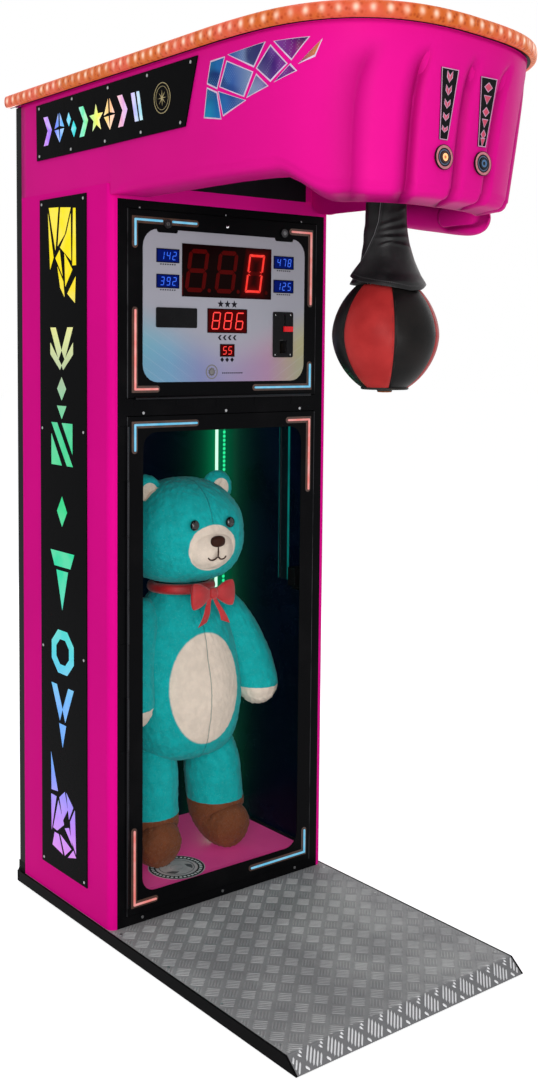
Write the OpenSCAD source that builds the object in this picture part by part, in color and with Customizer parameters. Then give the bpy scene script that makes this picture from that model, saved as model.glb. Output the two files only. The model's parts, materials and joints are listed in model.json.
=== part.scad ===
// Boxing arcade machine. +Z is up, the player stands at -Y and +X is on the player's right.
// Heights start at the floor. Depths in the sizes below start at the cabinet's front plane,
// and row() moves the finished pieces so that the origin is under the middle of the machine.

/* [Base] */
// How far each base rail stands outside the side panels
base_over = 6; // [0:0.5:20]
// Reach of the platform in front of the cabinet
platform_reach = 734; // [500:1:800]
// Height of the tread plate above the floor
base_h = 33; // [30:1:45]
// Depth of the sloping nose of the platform
nose_slope = 36; // [20:1:60]
// Reach of the rails behind the cabinet's front plane
rail_rear = 484; // [470:1:560]
// Thickness of the two side rails
rail_t = 5; // [4:0.5:8]
// Thickness of the tread plate
tread_t = 3; // [2:0.5:4]
// Radius of the transport wheels
wheel_r = 17; // [15:0.5:18]
// Radius of the wheel axle
axle_r = 4; // [3:0.5:5]

/* [Cabinet] */
// Width over the side panels
cab_w = 700; // [600:1:840]
// Depth of the side panels
cab_d = 449; // [420:1:500]
// Height of the seam between the side panels and the head
side_top = 1890; // [1800:1:2000]
// Thickness of the side panels and radius of their front edge
side_t = 20; // [16:1:26]
// Square tube of the inner frame
tube = 25; // [20:1:30]
// Depth of the rear cover
rear_depth = 33; // [25:1:45]
// Height of the showcase floor
floor_z = 100; // [80:1:140]

/* [Front frame and doors] */
// Distance from the seam down to the top of the black front frame
frame_drop = 35; // [25:1:60]
// Depth of the front frame
frame_d = 30; // [26:1:40]
// Width of the frame's two stiles
stile_w = 26; // [20:1:40]
// Height of the frame's top bar
top_bar = 21; // [16:1:40]
// Height of the bar between the doors
mid_bar = 43; // [36:1:60]
// Height of the bar under the lower door
low_bar = 25; // [20:1:40]
// Height of the opening for the display door
display_h = 464; // [440:1:520]
// Gap round each door
door_gap = 1.5; // [1:0.1:3]
// Thickness of the doors' sheet
sheet_t = 2; // [1.5:0.5:3]
// Depth of the doors behind the frame's front plane
door_d = 18; // [14:1:22]
// Distance from the window to the lower door's side edges
window_side = 46.5; // [30:0.5:70]
// Distance from the window to the lower door's top edge
window_top = 40; // [30:1:60]
// Distance from the window to the lower door's bottom edge
window_low = 49; // [30:1:70]
// Corner radius of the window
window_r = 40; // [20:1:60]
// Thickness of the showcase glass
glass_t = 4; // [3:0.5:6]

/* [Display door fittings] */
// Width of the silver display plate
plate_w = 518; // [500:1:540]
// Height of the silver display plate
plate_h = 378; // [378:1:400]
// Corner radius of the silver display plate
plate_r = 44; // [20:1:60]
// Width of the big score display
score_w = 286; // [240:1:290]
// Height of the big score display
score_h = 132; // [110:1:136]
// Width of each small target display
target_w = 68; // [50:1:70]
// Height of each small target display
target_h = 34; // [26:1:36]
// Width of the coin entry plate
coin_w = 68; // [60:1:80]
// Height of the coin entry plate
coin_h = 121; // [110:1:124]
// Radius of the lock barrels
lock_r = 9; // [7:0.5:11]

/* [Head] */
// Height of the moulded wall above the seam
head_h = 242; // [200:1:300]
// Drop of the arm's lower edge below the seam
arm_drop = 28; // [10:1:60]
// Drop of the knuckles' lower edge below the seam
knuckle_drop = 85; // [60:1:130]
// How much further out the head is than the cabinet at its widest place
head_flare = 25; // [10:1:60]
// Reach of the rounded front beyond the widest place
head_b = 410; // [360:1:440]
// Depth at which the widest place lies
head_y = -450; // [-500:1:-400]
// Exponent of the rounded front: 2 is an ellipse, more is squarer
head_n = 2.7; // [2.2:0.1:3.2]
// How far the front wall leans in towards its lower edge
head_lean = 36; // [10:1:60]
// Slant of the knuckles across the front, depth per width
head_slant = 0.115; // [0:0.005:0.15]
// Thickness of the moulded wall
wall_t = 5; // [4:0.5:8]
// Width of the rim under the head
rim_w = 45; // [30:1:55]
// Depth of the creases between the fingers
crease_depth = 15; // [6:1:20]
// Height of the light trim
trim_h = 32; // [24:1:40]
// Reach of the light trim beyond the wall
trim_reach = 22; // [16:1:30]

/* [Punch bag] */
// Depth of the pivot in front of the cabinet
pivot_out = 592; // [560:1:640]
// Height of the pivot above the seam
pivot_up = 60; // [40:1:80]
// Radius of the bag
bag_r = 119; // [90:1:122]
// Distance from the pivot to the middle of the bag
bag_drop = 421; // [400:1:430]
// Radius of the pivot shaft
shaft_r = 10; // [8:0.5:14]
// Radius of the arm's tube
arm_r = 15; // [12:0.5:18]
// Radial clearance of a shaft in its bore
run_gap = 0.05; // [0.02:0.01:0.1]

/* [Buttons] */
// Radius of the two round play buttons
button_r = 12; // [10:0.5:15]
// Travel of the two play buttons
button_travel = 3; // [2:0.5:4]
// Drop of the two play buttons below the seam
button_drop = 5; // [-30:1:30]

/* [Plush prize] */
// Height of the plush bear
bear_h = 1060; // [700:10:1150]

/* [Hidden] */
$fn = 48;
seat = 0.3;                                   // gap at which soft and curved pieces rest on each other
cab_x = cab_w / 2;
base_w = cab_w + 2 * base_over;
wall_top = side_top + head_h;                 // here the light trim begins
arm_low = side_top - arm_drop;
knuckle_low = side_top - knuckle_drop;
head_a = cab_x + head_flare;                  // half width of the head at its widest place
pivot_z = side_top + pivot_up;
button_z = side_top - button_drop;
inner_x = cab_x - side_t;                     // inside of the side panels
rail_low = 3;                                 // the rails clear the floor by this much
foot_h = 5;
side_low = base_h;
frame_top = side_top - frame_drop;
dd_top = frame_top - top_bar;                 // opening of the display door
dd_low = dd_top - display_h;
pd_top = dd_low - mid_bar;                    // opening of the prize door
pd_low = base_h + low_bar;
opening_x = inner_x - stile_w;                // half width of both door openings
leaf_x = opening_x - door_gap;
window_w = 2 * (leaf_x - window_side);
lip = 10;                                     // stop lip behind the doors
lip_y = door_d + 2;
lip_t = 2;
skin_y = -sheet_t;                            // front face of the doors
hinge_y = -6.2;                               // hinge pins lie in front of the frame
knuckle_r = 3.5;
pin_r = 1.5;
pivot_y = -pivot_out;
bag_z = pivot_z - bag_drop;
trim_front = head_y - head_b - trim_reach;
trim_rear = cab_d + rear_depth + 24;
row_y = -(trim_front + trim_rear) / 2;

magenta = [0.80, 0.02, 0.47];
black = [0.06, 0.06, 0.07];
steel = [0.62, 0.63, 0.65];

// placing helpers
module row() translate([0, row_y, 0]) children();
module box(x0, x1, y0, y1, z0, z1) translate([x0, y0, z0]) cube([x1 - x0, y1 - y0, z1 - z0]);
module pair() for (s = [0, 1]) mirror([s, 0, 0]) children();
module rod_x(x0, x1, y, z, r) translate([x0, y, z]) rotate([0, 90, 0]) cylinder(h = x1 - x0, r = r);
module rod_y(x, y0, y1, z, r) translate([x, y1, z]) rotate([90, 0, 0]) cylinder(h = y1 - y0, r = r);
module rod_z(x, y, z0, z1, r) translate([x, y, z0]) cylinder(h = z1 - z0, r = r);
module plate_y(y0, y1) translate([0, y1, 0]) rotate([90, 0, 0]) linear_extrude(y1 - y0) children();
module plate_x(x0, x1) translate([x0, 0, 0]) rotate([90, 0, 90]) linear_extrude(x1 - x0) children();
module plate_z(z0, z1) translate([0, 0, z0]) linear_extrude(z1 - z0) children();

// outline of a rectangle with round corners, each corner an arc of n steps
function round_pts(x0, x1, y0, y1, r, n = 6) = [
    for (c = [[x1 - r, y1 - r, 0], [x0 + r, y1 - r, 90], [x0 + r, y0 + r, 180], [x1 - r, y0 + r, 270]],
         i = [0:n]) [c[0] + r * cos(c[2] + 90 * i / n), c[1] + r * sin(c[2] + 90 * i / n)]];
module round_rect(x0, x1, y0, y1, r) polygon(round_pts(x0, x1, y0, y1, r));

// wall that closes on itself: rings of equal length, joined in a circle
module loop_loft(rings) {
    n = len(rings[0]);
    m = len(rings);
    polyhedron([for (r = rings) each r],
        [for (k = [0:m - 1], i = [0:n - 1]) let (a = k * n + i, b = k * n + (i + 1) % n,
              c = ((k + 1) % m) * n + i, d = ((k + 1) % m) * n + (i + 1) % n) each [[a, b, d], [a, d, c]]]);
}
// bar with closed ends: rings of equal length in order along the bar
module bar_loft(rings) {
    n = len(rings[0]);
    m = len(rings);
    polyhedron([for (r = rings) each r], concat(
        [for (k = [0:m - 2], i = [0:n - 1]) let (a = k * n + i, b = k * n + (i + 1) % n,
              c = a + n, d = b + n) each [[a, b, d], [a, d, c]]],
        [[for (i = [n - 1:-1:0]) i], [for (i = [0:n - 1]) (m - 1) * n + i]]));
}

// Outline of the head. A station is [side, value]: side -1 or 1 is a flank and value its depth,
// side 0 is the rounded front and value the angle from the left flank.
function smooth(u) = let (v = max(0, min(1, u))) v * v * (3 - 2 * v);
function flare(y) = (head_a - cab_x) * (cab_d - y) / (cab_d - head_y);
function front_reach(x, g) = (head_b + g) * pow(max(0, 1 - pow(abs(x) / (head_a + g), head_n)), 1 / head_n);
// the knuckles stand further back on the right
function slant(x, y) = (head_slant * x + 7.6) * smooth((head_y - y) / 180);
function head_xy(st, g) = st[0] != 0
    ? [st[0] * (cab_x + flare(st[1]) + g), st[1]]
    : let (x = -sign(cos(st[1])) * pow(abs(cos(st[1])), 2 / head_n) * (head_a + g),
           y = head_y - pow(abs(sin(st[1])), 2 / head_n) * (head_b + g)) [x, y + slant(x, y)];
function on_wall(st, g, z) = let (p = head_xy(st, g)) [p[0], p[1], z];
seam_gap = 0.6;
flank_ys = [cab_d / 2, seam_gap, -seam_gap, -25, -70, head_y / 3, head_y * 5 / 9, head_y * 7 / 9];
function stations(ys, step) = concat([for (y = ys) [-1, y]], [for (a = [0:step:180]) [0, a]],
    [for (i = [len(ys) - 1:-1:0]) [1, ys[i]]]);
shell_stations = stations(concat([cab_d], flank_ys), 2.5);
trim_stations = stations([trim_rear, cab_d / 2, 0, head_y / 2], 5);

// height of the lower edge, inward lean at the lower edge, and how far the front form has begun
function low_z(y) = y > -seam_gap / 2 ? side_top
    : arm_low - (arm_low - knuckle_low) * smooth((-y - 0.72 * -(head_y - head_b)) / 150);
function lean(y) = y > 0 ? flare(y) : flare(0) + (head_lean - flare(0)) * smooth((-y - 350) / 450);
function front_share(y) = max(0.04, smooth(-y / 70));
function height_share(y, z) = (z - low_z(y)) / (wall_top - low_z(y));

// creases between the four fingers
finger = 125;                                 // width of one finger
crease_x = [for (u = [-2.3, -1.5, -0.5, 0.5, 1.5]) 5 + finger * u];
crease_half = 12;
function crease_shift(z) = 55 * exp(-(wall_top - 22 - z) / 50);
function crease(x, y, z) = y > head_y - head_b * 0.5 ? 0
    : crease_depth * smooth((wall_top - 24 - z) / 60)
      * max([for (c = crease_x) exp(-pow((x - c - crease_shift(z)) / crease_half, 2))]);
function wall_grow(st, z) = let (p = head_xy(st, 0))
    -lean(p[1]) * pow(1 - max(0, height_share(p[1], z)), 1.2) - crease(p[0], p[1], z);
fillet = 28;
levels = 7;
// the rearmost station also moves in depth, so that the back wall gets its thickness
function at(st, g, z) = let (p = head_xy(st, g)) [p[0], p[1] + (st[1] == cab_d ? g : 0), z];
function wall_ring(k) = [for (st = shell_stations) let (y = head_xy(st, 0)[1],
    z = wall_top - (wall_top - low_z(y) - fillet * front_share(y)) * k / levels) at(st, wall_grow(st, z), z)];
function fillet_ring(a) = [for (st = shell_stations) let (y = head_xy(st, 0)[1], r = fillet * front_share(y))
    at(st, wall_grow(st, low_z(y)) - r * (1 - cos(a)), low_z(y) + r * (1 - sin(a)))];
function rim_grow(y) = -lean(y) - (side_t - 3) - (y > -1 ? 0 : rim_w * min(1, -y / 25));
function rim_ring(up) = [for (st = shell_stations) let (y = head_xy(st, 0)[1])
    at(st, rim_grow(y), low_z(y) - 8 * (front_share(y) - 0.04) + up)];
function inner_ring(k) = [for (st = shell_stations) let (y = head_xy(st, 0)[1],
    low = low_z(y) + wall_t + 0.9 * fillet * front_share(y), z = low + (wall_top - low) * k / 3)
    at(st, wall_grow(st, z) - wall_t, z)];

// wall of the front at a given place
function front_wall(x, z) = let (g = -head_lean * pow(1 - (z - knuckle_low) / (wall_top - knuckle_low), 1.2)
    - crease(x, head_y - head_b, z), y = head_y - front_reach(x, g)) y + slant(x, y);
start_x = 5 - 0.7 * finger;
record_x = 5 + 0.3 * finger;

// base
cross_ys = [for (i = [0:4]) -platform_reach + nose_slope + 33 + i * (platform_reach + cab_d - 140) / 4];
wheel_y = rail_rear - 12;
wheel_z = rail_low + wheel_r;
module base_frame() color(black) row() {
    difference() {
        pair() plate_x(base_w / 2 - rail_t, base_w / 2)
            polygon([[-platform_reach, rail_low], [nose_slope - platform_reach, base_h],
                     [rail_rear, base_h], [rail_rear, rail_low]]);
        rod_x(-base_w, base_w, wheel_y, wheel_z, axle_r + run_gap);
    }
    for (y = cross_ys) difference() {
        box(rail_t - base_w / 2, base_w / 2 - rail_t, y, y + tube, foot_h, base_h - tread_t);
        box(rail_t - base_w / 2, base_w / 2 - rail_t, y + 2, y + tube - 2, foot_h + 2, base_h - tread_t - 2);
    }
}
module tread_plate() color([0.42, 0.42, 0.43]) row() {
    lean_in = tread_t * 0.45;
    plate_x(rail_t + seat - base_w / 2, base_w / 2 - rail_t - seat)
        polygon([[cab_d, base_h], [nose_slope - platform_reach, base_h], [-platform_reach, rail_low],
                 [tread_t * 1.3 - platform_reach, rail_low],
                 [nose_slope - platform_reach + lean_in, base_h - tread_t], [cab_d, base_h - tread_t]]);
}
foot_r = 19;
module rubber_feet() color(black) row()
    for (i = [0, 2, 4]) pair() rod_z(base_w / 2 - 56, cross_ys[i] + tube / 2, 0, foot_h, foot_r);
module transport_wheels() color([0.12, 0.12, 0.12]) row() {
    hub = base_w / 2 - rail_t;
    rod_x(-base_w / 2 + 1, base_w / 2 - 1, wheel_y, wheel_z, axle_r);
    pair() difference() {
        rod_x(hub - 66, hub - 44, wheel_y, wheel_z, wheel_r);
        rod_x(hub - 70, hub - 40, wheel_y, wheel_z, axle_r);
        for (x = [hub - 67, hub - 49]) wheel_groove(x);
    }
}
// hollow face of a wheel, between its hub and its tyre
module wheel_groove(x) difference() {
    rod_x(x, x + 6, wheel_y, wheel_z, wheel_r * 0.7);
    rod_x(x - 1, x + 7, wheel_y, wheel_z, wheel_r * 0.45);
}

// cabinet
module side_panel() {
    box(-cab_x, -inner_x, side_t, cab_d, side_low, side_top);
    intersection() {
        rod_z(-inner_x, side_t, side_low, side_top, side_t);
        box(-cab_x, -inner_x, 0, side_t + 1, side_low, side_top);
    }
}
module side_panel_left() color(magenta) row() side_panel();
module side_panel_right() color(magenta) row() mirror([1, 0, 0]) side_panel();

ceil_z = wall_top - 42;                       // ceiling of the recess under the head
post_z = ceil_z + 3;                          // top of the posts, which carry the head's frame
rear_post_y = cab_d - side_t - tube + 2;
module cabinet_frame() color(steel) row() {
    pair() for (y = [frame_d, rear_post_y]) difference() {
        box(inner_x - tube, inner_x, y, y + tube, base_h, post_z);
        box(inner_x - tube + 2, inner_x - 2, y + 2, y + tube - 2, base_h + 2, post_z - 2);
    }
    for (y = [frame_d, rear_post_y])
        box(tube - inner_x, inner_x - tube, y, y + tube, post_z - tube, post_z);
}

cover_low = 60;
cover_x = cab_x - 2;
door_cut = [-220, 220, side_top - 510, side_top - 70];    // service opening, as x and z limits
inlet_x = 250;
inlet_z = 180;
back_y = cab_d + rear_depth;
service_x = door_cut[0] - 4;                  // hinge line of the service door
service_y = back_y + 4.5;
hinge_h = 40;                                 // height of each hinge's middle knuckle
hinge_end = 12;
hinge_r = 4;
module rear_cover() color(black) row() {
    difference() {
        box(-cover_x, cover_x, cab_d, back_y, cover_low, wall_top - 2);
        box(2 - cover_x, cover_x - 2, cab_d - 1, back_y - 2, cover_low + 2, wall_top - 4);
        box(door_cut[0], door_cut[1], cab_d + 1, back_y + 1, door_cut[2], door_cut[3]);
        for (i = [0:7]) plate_y(cab_d, back_y + 1) round_rect(-90, 90, 420 + 22 * i, 428 + 22 * i, 3.9);
        box(inlet_x - 30, inlet_x + 30, cab_d, back_y + 1, inlet_z - 25, inlet_z + 25);
    }
    for (z = service_zs) {
        rod_z(service_x, service_y, z - hinge_end, z + hinge_h + hinge_end, pin_r + 0.5);
        for (k = [z - hinge_end, z + hinge_h + seat]) {
            rod_z(service_x, service_y, k, k + hinge_end - seat, hinge_r);
            box(service_x - hinge_r, service_x, back_y, service_y, k, k + hinge_end - seat);
        }
    }
}
service_zs = [door_cut[2] + 60, door_cut[3] - 100];
module service_door() color([0.09, 0.09, 0.1]) row() {
    difference() {
        box(door_cut[0] + door_gap, door_cut[1] - door_gap, back_y - 14, back_y,
            door_cut[2] + door_gap, door_cut[3] - door_gap);
        box(door_cut[0] + door_gap + 2, door_cut[1] - door_gap - 2, back_y - 15, back_y - 2,
            door_cut[2] + door_gap + 2, door_cut[3] - door_gap - 2);
        for (i = [0:9]) plate_y(cab_d, back_y + 1)
            round_rect(-70, 70, door_cut[3] - 90 - 16 * i, door_cut[3] - 84 - 16 * i, 2.9);
    }
    rod_y(door_cut[1] - 32, back_y - 1, back_y + 5, (door_cut[2] + door_cut[3]) / 2, lock_r);
    for (z = service_zs) difference() {
        union() {
            rod_z(service_x, service_y, z, z + hinge_h, hinge_r);
            box(service_x, door_cut[0] + 26, back_y + seat, back_y + 2, z, z + hinge_h);
            box(door_cut[0] + door_gap, door_cut[0] + 26, back_y - 1, back_y + 2, z, z + hinge_h);
        }
        rod_z(service_x, service_y, z - 1, z + hinge_h + 1, pin_r + 0.5 + run_gap);
    }
}
module power_inlet() color([0.1, 0.1, 0.11]) row() {
    difference() {
        union() {
            box(inlet_x - 34, inlet_x + 34, back_y, back_y + 3, inlet_z - 29, inlet_z + 29);
            box(inlet_x - 29, inlet_x + 29, back_y - 30, back_y, inlet_z - 24, inlet_z + 24);
        }
        box(inlet_x - 24, inlet_x + 2, back_y - 16, back_y + 4, inlet_z - 11, inlet_z + 11);
        box(rocker_x - 8.5, rocker_x + 8.5, back_y - 16, back_y + 4, inlet_z - 13, inlet_z + 13);
        rod_x(rocker_x - rocker_pin - 0.1, rocker_x + rocker_pin + 0.1, rocker_y, inlet_z, pin_r + run_gap);
    }
    for (p = [[-9, -7], [-9, 7], [-15, 0]])
        box(inlet_x + p[0] - 3, inlet_x + p[0] + 3, back_y - 16.5, back_y - 2, inlet_z + p[1] - 1,
            inlet_z + p[1] + 1);
    for (z = [-26, 26]) rod_y(inlet_x, back_y + 2, back_y + 4.5, inlet_z + z, 2.5);
}
rocker_x = inlet_x + 18;
rocker_y = back_y - 1;
rocker_pin = 9.8;                             // half length of the rocker's pin
rocker_tilt = 7;
module power_switch() color([0.7, 0.05, 0.05]) row() translate([rocker_x, rocker_y, inlet_z])
    rotate([-rocker_tilt, 0, 0]) {
        plate_x(-7.5, 7.5)
            polygon([[-5, -4], [4, -11.5], [6, -11.5], [4.5, 0], [6, 11.5], [4, 11.5], [-5, 4]]);
        rod_x(-rocker_pin, rocker_pin, 0, 0, pin_r);
    }

lining_t = 3;
lining_top = pd_top + 9;
module showcase_lining() row() {
    x1 = inner_x - tube;
    y1 = rear_post_y - lining_t;
    color([0.03, 0.03, 0.06]) {
        pair() box(x1 - lining_t, x1, frame_d, y1, floor_z, lining_top);
        box(-x1, x1, y1, rear_post_y, floor_z, lining_top);
    }
    color([0.1, 0.9, 0.4])
        box(x1 - lining_t - 40, x1 - lining_t - 30, y1 - 2, y1, floor_z + 40, lining_top - 30);
}
module showcase_floor() color(magenta) row() difference() {
    box(tube - inner_x, inner_x - tube, frame_d, rear_post_y, base_h, floor_z);
    box(tube - inner_x + 3, inner_x - tube - 3, frame_d + 3, rear_post_y - 3, base_h - 1, floor_z - 6);
}
module display_shelf() color(black) row() difference() {
    box(tube - inner_x, inner_x - tube, frame_d, rear_post_y, lining_top, lining_top + 12);
    box(tube - inner_x + 2, inner_x - tube - 2, frame_d + 2, rear_post_y - 2, lining_top - 1,
        lining_top + 10);
}

// front frame, with the fixed halves of both piano hinges
hinge_n = 9;
function knuckle_span(a, b, i) = let (w = (b - a) / hinge_n) [a + w * i + seat, a + w * (i + 1) - seat];
dh_z = dd_low + door_gap / 2;
dh_x = leaf_x - 20;
ph_x = -(leaf_x + door_gap / 2);
ph_z = [pd_low + 25, pd_top - 25];
web = 1.5;
module front_frame() color(black) row() {
    difference() {
        box(-inner_x, inner_x, 0, frame_d, base_h, frame_top);
        for (z = [[dd_low, dd_top], [pd_low, pd_top]]) {
            box(-opening_x, opening_x, -1, lip_y, z[0], z[1]);
            box(lip - opening_x, opening_x - lip, 0, frame_d + 1, z[0] + lip, z[1] - lip);
            box(-opening_x, opening_x, lip_y + lip_t, frame_d + 1, z[0], z[1]);
        }
    }
    for (i = [0:2:hinge_n - 1]) {
        x = knuckle_span(-dh_x, dh_x, i);
        rod_x(x[0], x[1], hinge_y, dh_z, knuckle_r);
        box(x[0], x[1], hinge_y, 0, dh_z - knuckle_r, dh_z - knuckle_r + web);
        box(x[0], x[1], -web, 0, dh_z - 24, dh_z - knuckle_r + web);
        z = knuckle_span(ph_z[0], ph_z[1], i);
        rod_z(ph_x, hinge_y, z[0], z[1], knuckle_r);
        box(ph_x - knuckle_r, ph_x - knuckle_r + web, hinge_y, 0, z[0], z[1]);
        box(ph_x - 20, ph_x - knuckle_r + web, -web, 0, z[0], z[1]);
    }
    rod_x(-dh_x, dh_x, hinge_y, dh_z, pin_r);
    rod_z(ph_x, hinge_y, ph_z[0], ph_z[1], pin_r);
}

// a door is a folded sheet, open at the back
module leaf(z0, z1) difference() {
    box(-leaf_x, leaf_x, skin_y, door_d, z0, z1);
    box(sheet_t - leaf_x, leaf_x - sheet_t, 0, door_d + 1, z0 + sheet_t, z1 - sheet_t);
}
plate_low = dd_low + 40;
plate_top = plate_low + plate_h;
plate_y0 = skin_y - 2;
lock_x = 187;
lock_z = dd_top - 32;
score_z = plate_low + 281;
target_x = 186;
target_zs = [plate_low + 314, plate_low + 251];
record_z = plate_low + 156;
credit_z = plate_low + 80;
coin_x = 185;
coin_z = plate_low + 123;
blank_x = -159;
blank_z = plate_low + 161;
module display_door() color(black) row() {
    difference() {
        leaf(dd_low + door_gap, dd_top - door_gap);
        box(16 - plate_w / 2, plate_w / 2 - 16, -9, 1, plate_low + 16, plate_top - 16);
        pair() rod_y(lock_x, -9, 9, lock_z, lock_r + 0.2);
    }
    for (i = [1:2:hinge_n - 1]) {
        x = knuckle_span(-dh_x, dh_x, i);
        difference() {
            rod_x(x[0], x[1], hinge_y, dh_z, knuckle_r);
            rod_x(x[0] - 1, x[1] + 1, hinge_y, dh_z, pin_r + run_gap);
        }
        box(x[0], x[1], hinge_y, skin_y, dh_z + knuckle_r - web, dh_z + knuckle_r);
    }
}
module display_plate() color([0.72, 0.72, 0.80]) row() plate_y(plate_y0, skin_y) difference() {
    round_rect(-plate_w / 2, plate_w / 2, plate_low, plate_top, plate_r);
    for (s = [-1, 1]) {
        round_rect(s * lock_x - 32, s * lock_x + 32, plate_top - 8, plate_top + 30, 7);
        for (z = target_zs) window(s * target_x, z, target_w, target_h);
    }
    window(0, score_z, score_w, score_h);
    window(0, record_z, record_w, record_h);
    window(0, credit_z, credit_w, credit_h);
    window(coin_x, coin_z, coin_w - 4, coin_h - 4);
}
module window(x, z, w, h) translate([x, z]) square([w + 2 * seat, h + 2 * seat], center = true);
record_w = 127;
record_h = 62;
credit_w = 46;
credit_h = 32;

// display module: a housing with a sunk window
module display_box(x, z, w, h, deep) difference() {
    box(x - w / 2, x + w / 2, plate_y0 - 1.5, deep, z - h / 2, z + h / 2);
    box(x - w / 2 + 2, x + w / 2 - 2, plate_y0 - 2, plate_y0, z - h / 2 + 2, z + h / 2 - 2);
}
// one figure of seven slanted bars and its point
figure_slant = 0.15;
module figure(w, h, t) {
    for (z = [-h / 2, 0, h / 2]) figure_bar(0, z, w / 2 - 1, t / 2, false);
    for (x = [-w / 2, w / 2], z = [-h / 4, h / 4]) figure_bar(x, z, h / 4 - 1, t / 2, true);
    translate([w / 2 + 1.1 * t, -h / 2]) circle(t * 0.45);
}
module figure_bar(x, z, l, b, upright)
    polygon([for (p = [[-l, 0], [b - l, b], [l - b, b], [l, 0], [l - b, -b], [b - l, -b]])
        let (u = x + (upright ? -p[1] : p[0]), v = z + (upright ? p[0] : p[1])) [u + figure_slant * v, v]]);
module score_display() row() {
    color([0.08, 0.02, 0.02]) display_box(0, score_z, score_w, score_h, 20);
    color([0.9, 0.05, 0.05]) for (i = [-1:1]) plate_y(plate_y0 - 0.8, plate_y0)
        translate([i * score_w * 0.325 - 4, score_z]) figure(score_w * 0.18, score_h * 0.74, 11);
}
module counter_displays() row() {
    color([0.02, 0.05, 0.35]) for (x = [-target_x, target_x], z = target_zs)
        display_box(x, z, target_w, target_h, 16);
    color([0.12, 0.02, 0.02]) display_box(0, record_z, record_w, record_h, 16);
    color([0.12, 0.02, 0.02]) display_box(0, credit_z, credit_w, credit_h, 16);
}
coin_face = plate_y0 - 3;
slot_w = 4.8;
slot_x = coin_x + 5;
slot_z = [coin_z + 26, coin_z + 54];
reject_w = 30;
reject_h = 14;
reject_x = coin_x + 15;
reject_z = coin_z + 15;
module coin_plate() row() {
    color(black) {
        difference() {
            plate_y(coin_face, plate_y0) translate([coin_x, coin_z])
                round_rect(-coin_w / 2, coin_w / 2, -coin_h / 2, coin_h / 2, 5);
            box(slot_x - slot_w / 2, slot_x + slot_w / 2, coin_face - 1, 0, slot_z[0], slot_z[1]);
            box(reject_x - reject_w / 2 - seat, reject_x + reject_w / 2 + seat, coin_face - 1, 0,
                reject_z - reject_h / 2 - seat, reject_z + reject_h / 2 + seat);
            box(coin_x - 12, coin_x + 12, coin_face - 1, 0, coin_z - 50, coin_z - 14);
            for (x = [-1, 1], z = [-1, 1])
                rod_y(coin_x + x * 26, coin_face - 1, 0, coin_z + z * 53, 2.5);
        }
        plate_y(plate_y0 - 2, plate_y0) translate([blank_x, blank_z]) round_rect(-62, 62, -25, 25, 4);
    }
    color(steel) for (x = [-1, 1], z = [-1, 1])
        rod_y(coin_x + x * 26, coin_face - 1.4, plate_y0, coin_z + z * 53, 2.5);
}
mech_y = plate_y0 + seat;
module coin_mech() color([0.75, 0.68, 0.4]) row() difference() {
    box(coin_x - 25, coin_x + 25, mech_y, 76, coin_z - 51, coin_z + 51);
    box(slot_x - slot_w / 2, slot_x + slot_w / 2, mech_y - 1, 60, coin_z - 30, slot_z[1] - 5);
    box(slot_x - slot_w / 2, slot_x + slot_w / 2, mech_y - 1, 2, slot_z[0], slot_z[1] - 3);
    box(coin_x - 12, coin_x + 12, mech_y - 1, 60, coin_z - 50, coin_z - 16);
    box(reject_x - reject_w / 2 - 1, coin_x + 26, mech_y - 1, 14, reject_z - reject_h, reject_z + reject_h);
}
module reject_button() color([0.85, 0.03, 0.05]) row() {
    box(reject_x - reject_w / 2, reject_x + reject_w / 2, coin_face - 5, coin_face + 6,
        reject_z - reject_h / 2, reject_z + reject_h / 2);
}

// cam locks: the barrels stay on the door, and each plug turns with its cam
plug_r = 5;
cam_y = lip_y + lip_t + 2;
cam_reach = 28;
module lock_barrels() color(steel) row() pair() difference() {
    union() {
        rod_y(lock_x, skin_y - 5, skin_y, lock_z, lock_r + 2);
        rod_y(lock_x, skin_y - 1, cam_y - 1, lock_z, lock_r);
    }
    rod_y(lock_x, -20, cam_y + 1, lock_z, plug_r + run_gap);
}
module lock_cam(side) color(steel) row() {
    difference() {
        rod_y(side * lock_x, skin_y - 5.5, cam_y + 3, lock_z, plug_r);
        box(side * lock_x - 0.8, side * lock_x + 0.8, skin_y - 6, skin_y - 3, lock_z - 3.5, lock_z + 3.5);
    }
    plate_y(cam_y, cam_y + 3) difference() {
        translate([side * lock_x, lock_z]) hull() {
            circle(8);
            translate([-side * (cam_reach - 6), 0]) square([12, 13], center = true);
        }
        translate([side * lock_x, lock_z]) circle(plug_r - 0.01);
    }
}
module lock_cam_left() lock_cam(-1);
module lock_cam_right() lock_cam(1);

// light strips: each is two tubes that meet at a corner of the door
strip_r = 2.8;
strip_y = skin_y - strip_r;
module strip(cx, cz, hx, vz) {
    rod_x(min(cx, hx), max(cx, hx), strip_y, cz, strip_r);
    rod_z(cx, strip_y, min(cz, vz), max(cz, vz), strip_r);
    for (p = [[cx, cz], [hx, cz], [cx, vz]]) translate([p[0], strip_y, p[1]]) sphere(strip_r);
}
edge_x = leaf_x - 21;
module display_strips() row() {
    color([0.2, 0.65, 0.95]) {
        strip(-edge_x, dd_top - 26, 15 - lock_x - 32, dd_top - 87);
        rod_x(15 - lock_x, -99, strip_y, dd_top - 26, strip_r);
        strip(edge_x, dd_low + 23, 94, dd_low + 83);
    }
    color([0.95, 0.5, 0.45]) {
        strip(edge_x, dd_top - 26, 215, dd_top - 217);
        strip(-edge_x, dd_low + 23, -216, dd_low + 217);
    }
}
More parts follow.
